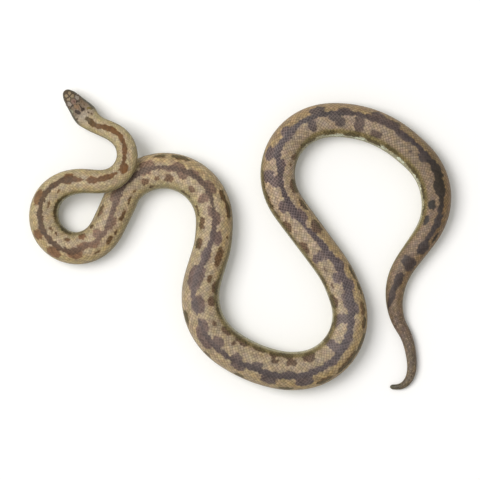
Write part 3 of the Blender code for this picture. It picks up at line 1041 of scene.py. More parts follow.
    # how much darker the ridge line is than the blotches on it
    line_depth: Table = (
        (0, 1.0),
        (110, 0.95),
        (135, 0.50),
        (190, 0.50),
        (215, 0.90),
        (262, 0.72),
        (345, 0.62),
        (400, 0.80),
        (450, 0.70),
        (520, 0.78),
        (600, 0.84),
        (700, 0.80),
        (960, 1.00),
    )
    # how far round from the back the flank's olive and the belly's cream come in, where the cream ends on
    # the tail, and how strong the olive is, which is the flank's own colour darkened as painted shade
    flank_reach: tuple[float, float] = (0.32, 0.39)
    belly_reach: tuple[float, float] = (0.44, 0.50)
    belly_fade: tuple[float, float] = (940, 990)
    flank_olive_and_shade: Table = (
        (0, 0.3),
        (40, 0.5),
        (160, 0.8),
        (240, 0.5),
        (330, 0.5),
        (400, 0.9),
        (940, 0.9),
        (1000, 0.4),
    )
    # along the body: how dark the scales' borders are on the ground, and how pale on the blotches
    borders: Table = (
        (0, 0.55, 0.2),
        (60, 0.80, 0.4),
        (200, 0.80, 0.9),
        (280, 0.80, 1.7),
        (340, 0.85, 1.5),
        (400, 0.85, 1.2),
        (560, 0.90, 1.6),
        (640, 0.95, 2.2),
        (700, 1.00, 3.2),
        (760, 1.00, 2.8),
        (790, 1.00, 1.4),
        (850, 1.00, 0.8),
        (930, 1.05, 0.6),
        (1047, 1.10, 0.6),
    )
    # how much one scale differs from the next on the tail
    fleck: float = 0.34
    fleck_reach: tuple[float, float] = (930, 975)
    # the pale lines along the tail: how strong, how far apart, and how they are turned
    streaks: tuple[float, float, float] = (0.17, 2.3, 0.6)
    streak_reach: tuple[float, float] = (955, 985)
    # how much the ground varies in soft patches, how broad they are, and how its three colours part in them
    mottle: float = 0.035
    mottle_size: float = 0.55
    mottle_turns: Colour = (0.3, 0.5, 2.6)
    # marks are drawn this much too big, and scale by scale this much bigger or smaller, less on the neck
    swell: float = 0.14
    ragged: float = 0.40
    neck_ragged: float = 0.4
    ragged_reach: tuple[float, float] = (110, 160)
    softness: float = 0.35
    pale_softness: float = 0.5
    wobble: float = 0.30
    # the wobble's waves: how strong, how close along and across, and how much its turn turns them
    waves: Table = ((1.0, 0.9, 1.3, 1.0), (0.6, -1.7, 0.8, 2.1), (0.5, 0.6, -2.1, 4.0))
    # ovals: 2 is an ellipse and more is squarer, the least half breadth, and how far outside is told apart
    squareness: float = 2.4
    thinnest: float = 0.3
    outside: float = 2.0
    # the thinnest ridge line that is drawn, and how far out a mark may be, as a share of half the width
    thinnest_line: float = 0.05
    farthest: float = 0.985
    # the wobble's turns along and across the head, and that of its mottle
    head_turns: tuple[float, float, float] = (1.0, 2.0, 0.7)
    # how far back the head's own colours are worked out
    head_colours: float = 32.0

    def _carried(self, across: Array | float, radius: Array) -> Array:
        """The arc from the top, in millimetres, of a place seen from above."""
        return radius * np.arcsin(np.clip(across / radius, -self.farthest, self.farthest))

    @staticmethod
    def _seen(arcs: Array, radius: Array) -> Array:
        """How far to the left a point is seen from above, as a share of half the width."""
        return np.sin(np.clip(arcs / radius, -math.pi / 2, math.pi / 2))

    def _span(self, across: float, broad: float, radius: Array) -> Pair:
        """The middle of a mark seen from above and half its breadth, along the arc."""
        low, high = self._carried(across - broad, radius), self._carried(across + broad, radius)
        return (low + high) / 2, (high - low) / 2

    def _inside(self, marks: Table, places: Array, arcs: Array, radius: Array) -> Array:
        """How far inside the nearest of some oval marks each point lies, in millimetres."""
        best = np.full(places.shape, -self.outside)
        power = self.squareness
        for place, across, long, broad in marks:
            near = np.abs(places - place) < long + self.outside
            if near.any():
                middle, breadth = self._span(across, broad, radius[near])
                breadth = np.maximum(breadth, self.thinnest)
                aside = np.abs(arcs[near] - middle) / breadth
                ahead = np.abs(places[near] - place) / long
                inside = (1 - (aside**power + ahead**power) ** (1 / power)) * np.minimum(breadth, long)
                best[near] = np.maximum(best[near], inside)
        return best

    def _wander(self, places: Array, arcs: Array, turn: float) -> Array:
        """A smooth wobble of a few millimetres' wavelength that keeps outlines from being too even."""
        parts = [
            strength * np.sin(along * places + across * arcs + turning * turn)
            for strength, along, across, turning in self.waves
        ]
        return sum(parts)

    def _run(self, stations: Table, places: Array) -> Array:
        """A colour that changes along the body."""
        return np.stack(curves(stations, places), axis=-1)

    def _marks(self, places: Array, arcs: Array, radius: Array, off: Array) -> list[Array]:
        """How much of the ridge line, of a lobe, of a spot and of a pale mark each point is."""
        ridge = np.array(self.ridge)
        middle = self._carried(np.interp(places, ridge[:, 0], ridge[:, 1]), radius)
        breadth = np.interp(places, ridge[:, 0], ridge[:, 2], left=0.0, right=0.0)
        line = np.where(breadth > self.thinnest_line, breadth - np.abs(arcs - middle), -self.outside) + off
        lobe, spot, pale = (
            self._inside(marks, places, arcs, radius) for marks in (self.lobes, self.spots, self.pale_marks)
        )
        soft = self.softness
        shares = [ease(-soft, soft, mark)[:, None] for mark in (line, lobe + off, spot + off)]
        return [*shares, ease(-self.pale_softness, self.pale_softness, pale + 2 * off)[:, None]]

    def _ground(self, places: Array, arcs: Array, seen: Array) -> Array:
        """The ground's colour, with soft patches, more golden towards the edges as painted warm bounce
        light, and greener towards the edges.
        """
        ground = self._run(self.ground_run, places)
        size = self.mottle_size
        patch = [self._wander(size * places, size * arcs, turn) for turn in self.mottle_turns]
        ground = ground * (1 + self.mottle * np.stack(patch, axis=-1))
        # the golden cast is painted warm bounce light; the green cast is a tint
        for stations, cast, reach in (
            (self.painted_warm_bounce, self.gold, self.warm_bounce_reach),
            (self.greening, self.green, self.green_reach),
        ):
            left, right = curves(stations, places)
            share = (left * ease(*reach, seen) + right * ease(*reach, -seen))[:, None]
            ground = ground * (1 + (np.array(cast) - 1) * share)
        return ground

    def _spot_colours(self, dark: Array, places: Array, arcs: Array, edge: Array) -> Array:
        """The colour that a spot would have at each point: olive out at the edge."""
        left, right = curves(self.spot_depth, places)
        brown = np.where(arcs > 0, left, right)[:, None]
        colour = blend(dark * np.array(self.spot_warmth), self.spot_colour, brown)
        colour = colour * smooth_through(self.spot_shade, places)[:, None]
        return blend(colour, self.flank_spot, edge)

    def tint(self, hide: "Hide", places: Array, arcs: Array, chance: Array) -> Pair:
        """Colours the body.

        Args:
            hide: the animal's surface.
            places: distances from the snout, in metres, as a flat array.
            arcs: arcs from the top, in metres.
            chance: an even random number from -1 to 1 for each point.

        Returns:
            An array of linear colours, a row for each point, and how much of a blotch each is.
        """
        half, roll = hide.half(places) / MM, hide.roll(places) / MM
        radius = hide.radius(places) / MM
        own_places, own_arcs = places, arcs
        places, arcs = hide.seen_from_above(places, arcs) / MM, arcs / MM
        arcs = (arcs + half) % (2 * half) - half
        from_back = np.abs((arcs - roll + half) % (2 * half) - half) / half
        seen = self._seen(arcs, radius)
        on = places + self.wobble * self._wander(places, arcs, 1.0)
        aside = arcs + self.wobble * self._wander(places, arcs, 2.0)
        ragged = self.neck_ragged + (1 - self.neck_ragged) * ease(*self.ragged_reach, places)
        line, lobe, spot, pale = self._marks(on, aside, radius, self.swell + self.ragged * chance * ragged)
        dark = self._run(self.blotch_run, places)
        low = ease(*self.flank_reach, from_back)[:, None]
        edge = np.maximum(low, ease(*self.edge_reach, np.abs(seen))[:, None])
        olive_and_shade = low * smooth_through(self.flank_olive_and_shade, places)[:, None]
        belly = (ease(*self.belly_reach, from_back) * (1 - ease(*self.belly_fade, places)))[:, None]
        # the flank's olive: partly its own colour, partly painted shade on the lower flanks
        colour = blend(self._ground(places, arcs, seen), self.flank, olive_and_shade)
        colour = blend(colour, self.cream, belly)
        colour = blend(colour, self.white, pale)
        colour = blend(colour, self._spot_colours(dark, places, arcs, edge), spot)
        colour = blend(colour, blend(dark * np.array(self.lobe_warmth), self.flank_spot, low), lobe)
        depth = smooth_through(self.line_depth, places)[:, None]
        colour = blend(colour, dark * np.array(self.line_warmth) * depth, line)
        colour = colour * (1 + self.fleck * chance * ease(*self.fleck_reach, places))[:, None]
        strength, apart, turn = self.streaks
        streak = strength * np.cos(2 * math.pi * aside / apart + turn)
        streak = streak * ease(*self.streak_reach, places) * (1 - belly[:, 0])
        colour = colour * (1 + streak)[:, None]
        near = places < self.head_colours
        if near.any():
            own = np.clip(own_places[near], 0.0, None)
            spots = np.stack([own, *hide.local(own, own_arcs[near], 0.0, in_shares=False)], axis=-1) / MM
            head = self._head_tint(places[near], arcs[near], radius[near], half[near], spots)
            body = ease(*self.nape, places[near])[:, None] * (1 - line[near])
            body = body + ease(*self.line_nape, places[near])[:, None] * line[near]
            colour[near] = blend(head, colour[near], body)
        return colour, np.maximum.reduce([lobe, line, spot])[:, 0]

    def _head_tint(self, places: Array, arcs: Array, radius: Array, half: Array, spots: Array) -> Array:
        """Colours the head.

        Args:
            places: distances from the snout, in millimetres as seen from above.
            arcs: arcs from the top, in millimetres.
            radius: half the width there.
            half: half the girth there.
            spots: the points themselves, as (from snout, left, up) in millimetres.

        Returns:
            An array of linear colours, a row for each point.
        """
        share = np.abs(arcs) / half
        top = self._run(self.head_run, places)
        tone, inward = self.plates.tones_at(spots)
        toned = self.plate_depth * ease(*self.plate_reach, inward) * (tone[:, 0] >= 0)
        top = blend(top, tone, toned[:, None])
        depth, reach = self.seam
        seam = (depth * bump(inward, reach) * (1 - ease(*self.seam_fade, places)))[:, None]
        top = blend(top, HeadTone.SUTURE.value, seam)
        along_turn, across_turn, mottle_turn = self.head_turns
        on = places + self.head_wobble * self._wander(places, arcs, along_turn)
        aside = arcs + self.head_wobble * self._wander(places, arcs, across_turn)
        for place, across, long, broad, colour in self.head_marks:
            middle, breadth = self._span(across, broad, radius)
            inside = 1 - np.hypot((aside - middle) / np.maximum(breadth, TINY), (on - place) / long)
            weight = ease(*self.mark_edge, inside) * (share < self.mark_side)
            top = blend(top, colour.value, weight[:, None])
        strength, size = self.head_mottle
        mottle = self._wander(size * places, size * arcs, mottle_turn)
        top = top * (1 + strength * mottle)[:, None]
        begin, full, fade, end = self.band_reach
        fade_from, fade_to, faded = self.band_fade
        side = ease(begin, full, share) * (1 - faded * ease(fade_from, fade_to, places))
        top = blend(top, self.band, side[:, None])
        return blend(top, self.lip, ease(fade, end, share)[:, None])


# ---------------------------------------------------------------------------------------- meshes


@dataclass
class Shell:
    """A mesh that is being put together from arrays, and what it carries at its points.

    The tint is a colour. The tone and the rim make it lighter or darker. The corners are the faces' places
    on the bake map.
    """

    points: Array
    polygons: list[Array]
    tint: Array
    tone: Array
    rim: Array
    corners: list[Array]

    def make(self, name: str, finish: bpy.types.Material, sharp: float) -> bpy.types.Object:
        """Makes the object.

        Args:
            name: the piece's name.
            finish: its material.
            sharp: edges bent by more than this many degrees are shown sharp.

        Returns:
            The new object, linked to the scene.
        """
        mesh = bpy.data.meshes.new(name)
        loops = np.concatenate([polygons.ravel() for polygons in self.polygons])
        sizes = np.concatenate([np.full(len(faces), faces.shape[1]) for faces in self.polygons])
        starts = np.cumsum(sizes) - sizes
        mesh.vertices.add(len(self.points))
        mesh.vertices.foreach_set("co", self.points.astype(np.float32).ravel())
        mesh.loops.add(len(loops))
        mesh.loops.foreach_set("vertex_index", loops.astype(np.int32))
        mesh.polygons.add(len(sizes))
        mesh.polygons.foreach_set("loop_start", starts.astype(np.int32))
        mesh.update(calc_edges=True)
        mesh.validate()
        opaque = np.ones(len(self.tint))
        for label, kind, field_name, values in (
            ("tint", "FLOAT_COLOR", "color", np.c_[self.tint, opaque]),
            ("tone", "FLOAT", "value", self.tone),
            ("rim", "FLOAT", "value", self.rim),
        ):
            carried = mesh.attributes.new(label, kind, "POINT")
            carried.data.foreach_set(field_name, values.astype(np.float32).ravel())
        flat = np.concatenate([corner.reshape(-1, 2) for corner in self.corners]).astype(np.float32)
        mesh.uv_layers.new(name=BAKE_MAP).data.foreach_set("uv", flat.ravel())
        mesh.materials.append(finish)
        mesh.shade_smooth()
        mesh.set_sharp_from_angle(angle=math.radians(sharp))
        return put(name, mesh)


@dataclass(frozen=True)
class ScaleTemplate:
    """One scale as a thin closed lens: rings of (back along the body, across, height share) points."""

    spokes: int = 12
    # the outline: 2 is an ellipse, and less is more pointed
    roundness: float = 1.5
    # the inner ring's share of the outline and its height, and how deep the underside's middle lies
    inner: float = 0.6
    crown: float = 0.55
    keel: float = 1.4

    def points(self) -> Pair:
        """The lens's points.

        Returns:
            Rows of (along, across, over the leaning plane), from -1 to 1, and which of them are the rim's.
        """
        turns = np.arange(self.spokes) * 2 * math.pi / self.spokes
        along, across = (
            np.sign(wave) * np.abs(wave) ** (2 / self.roundness) for wave in (np.cos(turns), np.sin(turns))
        )
        rim = np.stack([along, across, np.zeros(self.spokes)], axis=1)
        inner = rim * self.inner + [0.0, 0.0, self.crown]
        rows = np.vstack([rim, inner, [[0.0, 0.0, 1.0], [0.0, 0.0, -self.keel]]])
        return rows, np.concatenate([np.ones(self.spokes), np.zeros(self.spokes + 2)])

    def faces(self) -> Pair:
        """Triangles and quads of the lens, facing out."""
        n = self.spokes
        i = np.arange(n)
        j = (i + 1) % n
        top, bottom = 2 * n, 2 * n + 1
        fan = np.stack([n + j, n + i, np.full(n, top)], axis=1)
        under = np.stack([i, j, np.full(n, bottom)], axis=1)
        band = np.stack([j, i, n + i, n + j], axis=1)
        return np.vstack([fan, under]), band


@dataclass
class Coat:
    """The overlapping scales of the back and flanks, from behind the head's plates to the tail tip."""

    hide: Hide
    markings: Markings
    # where the scales begin behind the head's plates and lips, at shares of the arc from top to chin
    edge: Table = (
        (0.00, 0.0176),
        (0.14, 0.0182),
        (0.27, 0.0160),
        (0.36, 0.0139),
        (0.46, 0.0143),
        (0.50, 0.0206),
        (0.68, 0.0212),
        (0.76, 0.0125),
        (0.86, 0.0100),
        (1.00, 0.0090),
    )
    edge_softness: tuple[float, float] = (-0.0002, 0.0006)
    start: float = 0.0090
    end_gap: float = 0.0018
    # how deep the coat is, where the body is at least this half width, and how much thinner on the head
    depth: float = 0.00040
    full_radius: float = 0.010
    least_depth: float = 0.25
    head_depth: float = 0.42
    head_depth_reach: tuple[float, float] = (0.022, 0.050)
    # the share of the girth that the belly's plates take, and where they begin
    belly_share: float = 0.17
    belly_begins: tuple[float, float] = (0.024, 0.034)
    # the rows' width and pitch at full girth, and the powers of the girth that they go with elsewhere
    full_girth: float = 0.082
    row_width: float = 0.00160
    row_power: float = 0.4
    pitch: float = 0.0028
    pitch_power: float = 0.35
    # how much finer the scales are on the head, and where they grow to full size
    head_fineness: float = 0.56
    head_fine_reach: tuple[float, float] = (0.014, 0.075)
    # scales are closer on the back, wider towards the belly, and a little past the belly plates' edge
    gathered: float = 0.10
    back_width: float = 0.90
    flank_width: float = 0.30
    past_edge: float = 0.4
    # a scale's own shape, as shares of its pitch, its row's width and the coat's depth
    length_share: float = 0.64
    width_share: float = 1.10
    set_back: float = 0.10
    lean_power: float = 0.8
    dome: float = 0.36
    sunk: float = 0.10
    # how much scales differ by chance in length, width, dome and tone
    spread: tuple[float, float, float, float] = (0.05, 0.04, 0.2, 0.5)
    # the size of a scale's patch on the bake map, and the corner and the size of the field of patches
    patch: float = 0.0015
    map_corner: tuple[float, float] = (0.03, 0.02)
    map_size: tuple[float, float] = (0.94, 0.96)
    seed: int = 7
    template: ScaleTemplate = ScaleTemplate()

    def depth_at(self, places: Array) -> Array:
        """How deep the coat is at places: it is thinner on the head and towards the tail tip."""
        full = self.depth * np.clip(self.hide.radius(places) / self.full_radius, self.least_depth, 1.0)
        return full * (self.head_depth + (1 - self.head_depth) * ease(*self.head_depth_reach, places))

    def cover(self, places: Array, shares: Array) -> Array:
        """How fully scales cover the skin, from 0 on the head's plates to 1."""
        begins = smooth_through(self.edge, np.abs(shares))
        return ease(*self.edge_softness, np.asarray(places) - begins)

    def belly_at(self, places: Array) -> Array:
        """The share of the girth that the belly's plates take."""
        return self.belly_share * ease(*self.belly_begins, places)

    def _roots(self) -> dict[str, Array]:
        """Where each scale stands, and its size.

        Returns:
            Flat arrays: place, arc from the middle of the back, half length, half width, half span.
        """
        place, ring = self.start, 0
        found: dict[str, list[Array]] = {name: [] for name in ("place", "arc", "long", "wide", "span")}
        while place < self.hide.length - self.end_gap:
            half = float(self.hide.half(place))
            girth = 2 * half / self.full_girth
            grown = float(ease(*self.head_fine_reach, place))
            fineness = self.head_fineness + (1 - self.head_fineness) * grown
            reach = half * (1 - float(self.belly_at(place)))
            row = self.row_width * girth**self.row_power * fineness
            pitch = self.pitch * girth**self.pitch_power * fineness
            rows = int(reach / row) + 1
            steps = np.arange(-rows, rows + 1)
            steps = steps[steps % 2 == ring % 2]
            off = steps * row / reach
            off = off[np.abs(off) < 1 + self.past_edge * row / reach]
            arc = reach * ((1 - self.gathered) * off + self.gathered * off**3)
            from_top = np.abs(arc + float(self.hide.roll(place))) / half
            shown = place >= smooth_through(self.edge, from_top)
            found["place"].append(np.full(shown.sum(), place))
            found["arc"].append(arc[shown])
            found["wide"].append(row * (self.back_width + self.flank_width * off[shown] ** 2))
            found["long"].append(np.full(shown.sum(), pitch))
            found["span"].append(np.full(shown.sum(), reach))
            place += pitch / 2
            ring += 1
        return {name: np.concatenate(parts) for name, parts in found.items()}

    def build(self, finish: bpy.types.Material) -> list[bpy.types.Object]:
        """Makes a piece of coat for each zone.

        Args:
            finish: the scales' material.

        Returns:
            The pieces.
        """
        roots = self._roots()
        chance = np.random.default_rng(self.seed)
        count = len(roots["place"])
        jitter = chance.uniform(-1, 1, (count, 4))
        pieces, begin = [], 0.0
        for zone in Zone:
            chosen = (roots["place"] >= begin) & (roots["place"] < zone.value)
            part = {name: values[chosen] for name, values in roots.items()}
            name = f"scales_{zone.name.lower()}"
            shell = self._piece(part, jitter[chosen], (begin, zone.value))
            pieces.append(shell.make(name, finish, SHARP))
            LOG.info("%s: %d scales", name, int(chosen.sum()))
            begin = zone.value
        return pieces

    def _piece(self, roots: dict[str, Array], jitter: Array, reach: tuple[float, float]) -> Shell:
        """The mesh of one zone's scales.

        Args:
            roots: where they stand.
            jitter: four even random numbers for each scale.
            reach: where the zone begins and ends.

        Returns:
            The mesh's arrays.
        """
        lens, rim = self.template.points()
        back, aside, over = lens.T[:, None, :]
        long_spread, wide_spread, dome_spread, tone_spread = self.spread
        place, arc = roots["place"], roots["arc"] + self.hide.roll(roots["place"])
        long = roots["long"] * self.length_share * (1 + long_spread * jitter[:, 0])
        wide = roots["wide"] * self.width_share * (1 + wide_spread * jitter[:, 1])
        depth = self.depth_at(place)[:, None]
        along = place[:, None] + long[:, None] * (back + self.set_back)
        around = arc[:, None] + wide[:, None] * aside
        lean = -depth * (1.0 - ((back + 1) / 2) ** self.lean_power)
        dome = depth * self.dome * over * (1 + dome_spread * jitter[:, 2:3])
        points = self.hide.at(along, around, np.minimum(lean - self.sunk * depth + dome, 0.0))
        size = len(rim)
        chance = np.repeat(jitter[:, 3], size)
        tint, blotch = self.markings.tint(self.hide, along.ravel(), around.ravel(), chance)
        dark, pale = curves(self.markings.borders, np.repeat(place, size) / MM)
        first = (np.arange(len(place)) * size)[:, None, None]
        polygons = [(first + faces[None]).reshape(-1, faces.shape[1]) for faces in self.template.faces()]
        across_map = (roots["arc"] / roots["span"] + 1) / 2
        along_map = (place - reach[0]) / (reach[1] - reach[0])
        seats = self.map_corner + self.map_size * np.stack([across_map, along_map], axis=-1)
        patches = (seats[:, None] + self.patch * lens[None, :, 1::-1]).reshape(-1, 2)
        return Shell(
            points=points.reshape(-1, 3),
            polygons=polygons,
            tint=tint,
            tone=np.repeat(jitter[:, 2] * tone_spread, size),
            rim=np.tile(rim, len(place)) * (dark * (1 - blotch) - pale * blotch),
            corners=[patches[faces] for faces in polygons],
        )


@dataclass
class BellyPlates:
    """The broad plates under the belly, and the paired ones under the tail."""

    hide: Hide
    markings: Markings
    coat: Coat
    start: float = 0.0265
    end_gap: float = 0.003
    # the plates' pitch at the coat's full girth, and their length as a share of it
    pitch: float = 0.0032
    overlap: float = 1.35
    set_forward: float = 0.15
    # half a plate's width as a share of the belly's arc, and a margin past it
    width_share: float = 1.14
    margin: float = 0.0006
    # paired plates: how far behind the vent they begin, and the middle and half width of each
    pair_gap: float = 0.003
    pair: tuple[float, float] = (0.5, 0.52)
    # how much the plates' ends are drawn in, and from where
    rounding: float = 0.22
    rounding_reach: tuple[float, float] = (0.72, 1.0)
    # how a plate leans, and how thick it is at its rim and its middle, as shares of the coat's depth
    lean: float = 0.9
    lean_power: float = 0.7
    rim_depth: float = 0.12
    middle_depth: float = 0.75
    tone_spread: float = 0.3
    border_power: int = 8
    # how far to the sides the plates' patches lie on the bake map
    map_spread: float = 0.2
    columns: int = 14
    rows: int = 4
    seed: int = 11

    def build(self, finish: bpy.types.Material) -> bpy.types.Object:
        """Makes all the plates as one piece.

        Args:
            finish: the scales' material.

        Returns:
            The piece.
        """
        middles, places, wides, longs = [], [], [], []
        place = self.start
        while place < self.hide.length - self.end_gap:
            half = float(self.hide.half(place))
            girth = 2 * half / self.coat.full_girth
            long = self.pitch * girth**self.coat.pitch_power
            wide = float(self.coat.belly_at(place)) * half * self.width_share + self.margin
            halves = [(side * self.pair[0], self.pair[1]) for side in (-1, 1)]
            paired = place > self.hide.form.vent + self.pair_gap
            for middle, reach in halves if paired else [(0.0, 1.0)]:
                middles.append(middle * wide)
                wides.append(reach * wide)
                places.append(place)
                longs.append(long)
            place += long
        shell = self._shell(*map(np.array, (places, middles, longs, wides)))
        return shell.make("belly_plates", finish, SHARP)

    def _shell(self, places: Array, middles: Array, longs: Array, wides: Array) -> Shell:
        """The mesh of all the plates.

        Args:
            places: how far from the snout each stands.
            middles: the arc from the middle of the belly to its middle.
            longs: the plates' pitch.
            wides: half their widths.

        Returns:
            The mesh's arrays.
        """
        n, m = self.columns + 1, self.rows + 1
        u, v = np.meshgrid(np.linspace(-1, 1, n), np.linspace(0, 1, m), indexing="xy")
        u, v = u.ravel(), v.ravel()
        rounding = 1 - self.rounding * ease(*self.rounding_reach, np.abs(u))
        chance = np.random.default_rng(self.seed).uniform(-1, 1, len(places))
        half = self.hide.half(places)
        depth = self.coat.depth_at(places)[:, None]
        back = self.overlap * v * rounding - self.set_forward
        along = places[:, None] + longs[:, None] * back[None]
        arc = (half + self.hide.roll(places) + middles)[:, None] + wides[:, None] * u[None]
        thick = self.rim_depth + self.middle_depth * np.sin(np.pi * v) * (1 - u**4)
        top = -depth * (1 - v[None] ** self.lean_power) * self.lean
        outside = self.hide.at(along, arc, top)
        inside = self.hide.at(along, arc, top - depth * thick[None])
        size = n * m
        grid = np.arange(size).reshape(m, n)
        quads = np.stack([grid[:-1, :-1], grid[:-1, 1:], grid[1:, 1:], grid[1:, :-1]], axis=-1)
        quads = quads.reshape(-1, 4)
        edge = np.concatenate([grid[0, :-1], grid[:-1, -1], grid[-1, :0:-1], grid[:0:-1, 0]])
        onward = np.roll(edge, -1)
        wall = np.stack([edge, edge + size, onward + size, onward], axis=1)
        faces = np.vstack([quads, quads[:, ::-1] + size, wall])
        first = (np.arange(len(places)) * 2 * size)[:, None, None]
        polygons = (first + faces[None]).reshape(-1, 4)
        corner, reach = self.coat.map_corner[1], self.coat.map_size[1]
        across_map = 0.5 + self.map_spread * middles / wides.max()
        seat = np.stack([across_map, corner + reach * places / self.hide.length], -1)
        spread = np.concatenate([np.stack([u, v], -1)] * 2)[None]
        patches = (seat[:, None] + spread * self.coat.patch).reshape(-1, 2)
        flat_place = np.repeat(places, 2 * size)
        flat_arc = np.concatenate([arc, arc], axis=1).ravel()
        tint, _ = self.markings.tint(self.hide, flat_place, flat_arc, np.repeat(chance, 2 * size))
        return Shell(
            points=np.concatenate([outside, inside], axis=1).reshape(-1, 3),
            polygons=[polygons],
            tint=tint,
            tone=np.repeat(chance * self.tone_spread, 2 * size),
            rim=np.tile(v**self.border_power, 2 * len(places)),
            corners=[patches[polygons]],
        )


# ---------------------------------------------------------------------------------------- skin and head


@dataclass
class HeadPlates:
    """The plates of the head and the lips, parted by fine grooves. Sizes are in millimetres."""

    hide: Hide
    # plates of the crown: colour where a plate has its own, and its seeds, (from snout, share of the arc)
    crown: tuple[tuple[HeadTone | None, Table], ...] = (
        (HeadTone.SNOUT, ((0.3, 0.0), (1.3, 0.0), (0.2, 0.5))),
        (HeadTone.TAN, ((4.0, 0.12),)),
        (HeadTone.SNOUT, ((2.0, 0.40),)),
        (HeadTone.TAN, ((7.1, 0.13),)),
        (HeadTone.MAUVE, ((9.8, 0.0), (11.6, 0.0))),
        (HeadTone.PALE, ((9.1, 0.23), (10.9, 0.235))),
        (None, ((14.8, 0.075), (15.8, 0.07))),
        (None, ((14.4, 0.21), (16.0, 0.19))),
        (HeadTone.SNOUT, ((5.0, 0.33),)),
        (HeadTone.SNOUT, ((6.9, 0.36),)),
        (HeadTone.SNOUT, ((8.1, 0.345),)),
        (None, ((12.7, 0.33),)),
        (None, ((3.7, 0.93),)),
        (None, ((7.3, 0.92),)),
        (None, ((0.8, 0.86),)),
    )
    # plates of the flank of the head: (from snout, up from the chin's level)
    flank: Table = (
        (4.0, 4.6),
        (5.8, 4.8),
        (7.5, 4.9),
        (8.4, 4.1),
        (10.6, 4.0),
        (12.3, 4.6),
        (12.6, 6.3),
    )
    # where the first and the last lip plates are, and how many there are and how far over the mouth
    lip_places: tuple[float, float] = (1.7, 20.2)
    lip_rows: tuple[tuple[int, float], ...] = ((11, 0.95), (12, -0.75))
    groove_width: float = 0.13
    groove_depth: float = 0.13
    # how finely a section is read to find a height on it, and how many points are sought at a time
    readings: int = 257
    batch: int = 8000

    def __post_init__(self) -> None:
        """Sets the seeds of all plates on the left and the right."""
        rows, numbers, tones = [], [], []
        shares = np.linspace(0.0, 1.0, self.readings)

        def lay(tone: HeadTone | None, seeds: Sequence[tuple[float, float]]) -> None:
            """Adds one plate on each side, or one in the middle."""
            middle = seeds[0][1] == 0.0
            for side in Side:
                if not (middle and side is Side.RIGHT):
                    tones.append((-1.0, -1.0, -1.0) if tone is None else tone.value)
                for place, share in seeds:
                    across, up, _ = self.hide.half_rings(np.array([place * MM]), np.array([share]))
                    rows.append((place, side.value * across[0, 0] / MM, up[0, 0] / MM))
                    numbers.append(len(tones) - 1)

        for tone, seeds in self.crown:
            lay(tone, seeds)
        heights = list(self.flank)
        for count, off in self.lip_rows:
            for place in np.linspace(*self.lip_places, count):
                mouth = float(smooth_through(self.hide.form.mouth, place * MM)) / MM
                heights.append((float(place), mouth + off))
        for place, up in heights:
            ring = self.hide.half_rings(np.array([place * MM]), shares)[1][0] / MM
            lay(None, ((place, float(np.interp(-up, -ring, shares))),))
        self.seeds, self.numbers, self.tones = np.array(rows), np.array(numbers), np.array(tones)

    def nearest(self, points: Array) -> Pair:
        """Finds the plate that each point lies on.

        Args:
            points: rows of (from snout, left, up) in millimetres.

        Returns:
            The plate's number, and how far in from its border the point lies.
        """
        number = np.zeros(len(points), int)
        inward = np.zeros(len(points))
        for begin in range(0, len(points), self.batch):
            now = slice(begin, begin + self.batch)
            part = points[now]
            far = ((part[:, None] - self.seeds[None]) ** 2).sum(-1)
            first = far.argmin(axis=1)
            others = np.where(self.numbers[None] == self.numbers[first][:, None], np.inf, far)
            apart = np.linalg.norm(self.seeds[first] - self.seeds[others.argmin(axis=1)], axis=1)
            number[now] = self.numbers[first]
            inward[now] = (others.min(axis=1) - far.min(axis=1)) / (2 * apart)
        return number, inward

    def grooves(self, points: Array) -> Array:
        """How deep in a groove between plates each point lies: 0 on a plate, and 1 in a groove."""
        return bump(self.nearest(points)[1], self.groove_width)

    def tones_at(self, points: Array) -> Pair:
        """The colour of the plate that each point lies on, or -1, and how far in from its border it is."""
        number, inward = self.nearest(points)
        return self.tones[number], inward


@dataclass
class Eyes:
    """The two eyes, each a clear-capped globe set in the head's side."""

    hide: Hide
    opening: float = 0.00140
    sunk: float = 0.00015
    segments: int = 64
    rings: int = 40

    def __post_init__(self) -> None:
        """Reads the globe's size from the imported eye."""
        low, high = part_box("eye_left")
        self.radius = (high[2] - low[2]) / 2
        self.aside = self.hide.beside_eye() - self.radius - self.sunk

    def build(self, side: Side, finish: bpy.types.Material) -> bpy.types.Object:
        """Makes one eye.

        Args:
            side: which eye.
            finish: its material.

        Returns:
            The globe.
        """
        form = self.hide.form
        turns = np.arange(self.segments) * 2 * math.pi / self.segments
        tilt, turn = np.meshgrid(np.linspace(0, math.pi, self.rings + 1), turns)
        tilt, turn = tilt.T.ravel(), turn.T.ravel()
        ahead = self.radius * np.sin(tilt) * np.cos(turn)
        rise = self.radius * np.sin(tilt) * np.sin(turn)
        out = self.radius * np.cos(tilt)
        middle = np.full(ahead.shape, form.eye_at)
        aside = side.value * (self.aside + out)
        foot, forward, left, up = self.hide.spine.frames(middle)
        points = foot + forward * ahead[:, None] + left * aside[:, None]
        points = points + up * (form.eye_height + rise)[:, None] - self.hide.shift
        grid = np.arange(len(points)).reshape(self.rings + 1, self.segments)
        onward = np.roll(grid, -1, axis=1)
        quads = np.stack([grid[:-1], grid[1:], onward[1:], onward[:-1]], axis=-1)[1:-1].reshape(-1, 4)
        tip = np.stack([np.full(self.segments, grid[0, 0]), grid[1], onward[1]], axis=-1)
        base = np.stack([onward[-2], grid[-2], np.full(self.segments, grid[-1, 0])], axis=-1)
        fans = np.vstack([tip, base])
        if side is Side.RIGHT:
            quads, fans = quads[:, ::-1], fans[:, ::-1]
        mesh = bpy.data.meshes.new(f"eye_{side.name.lower()}_globe")
        mesh.from_pydata(points, [], [tuple(face) for face in (*quads.tolist(), *fans.tolist())])
        gaze = np.stack([ahead / self.opening, rise / self.opening, out / self.radius], axis=-1)
        mesh.attributes.new("gaze", "FLOAT_VECTOR", "POINT").data.foreach_set("vector", gaze.ravel())
        mesh.materials.append(finish)
        mesh.shade_smooth()
        return put(mesh.name, mesh)


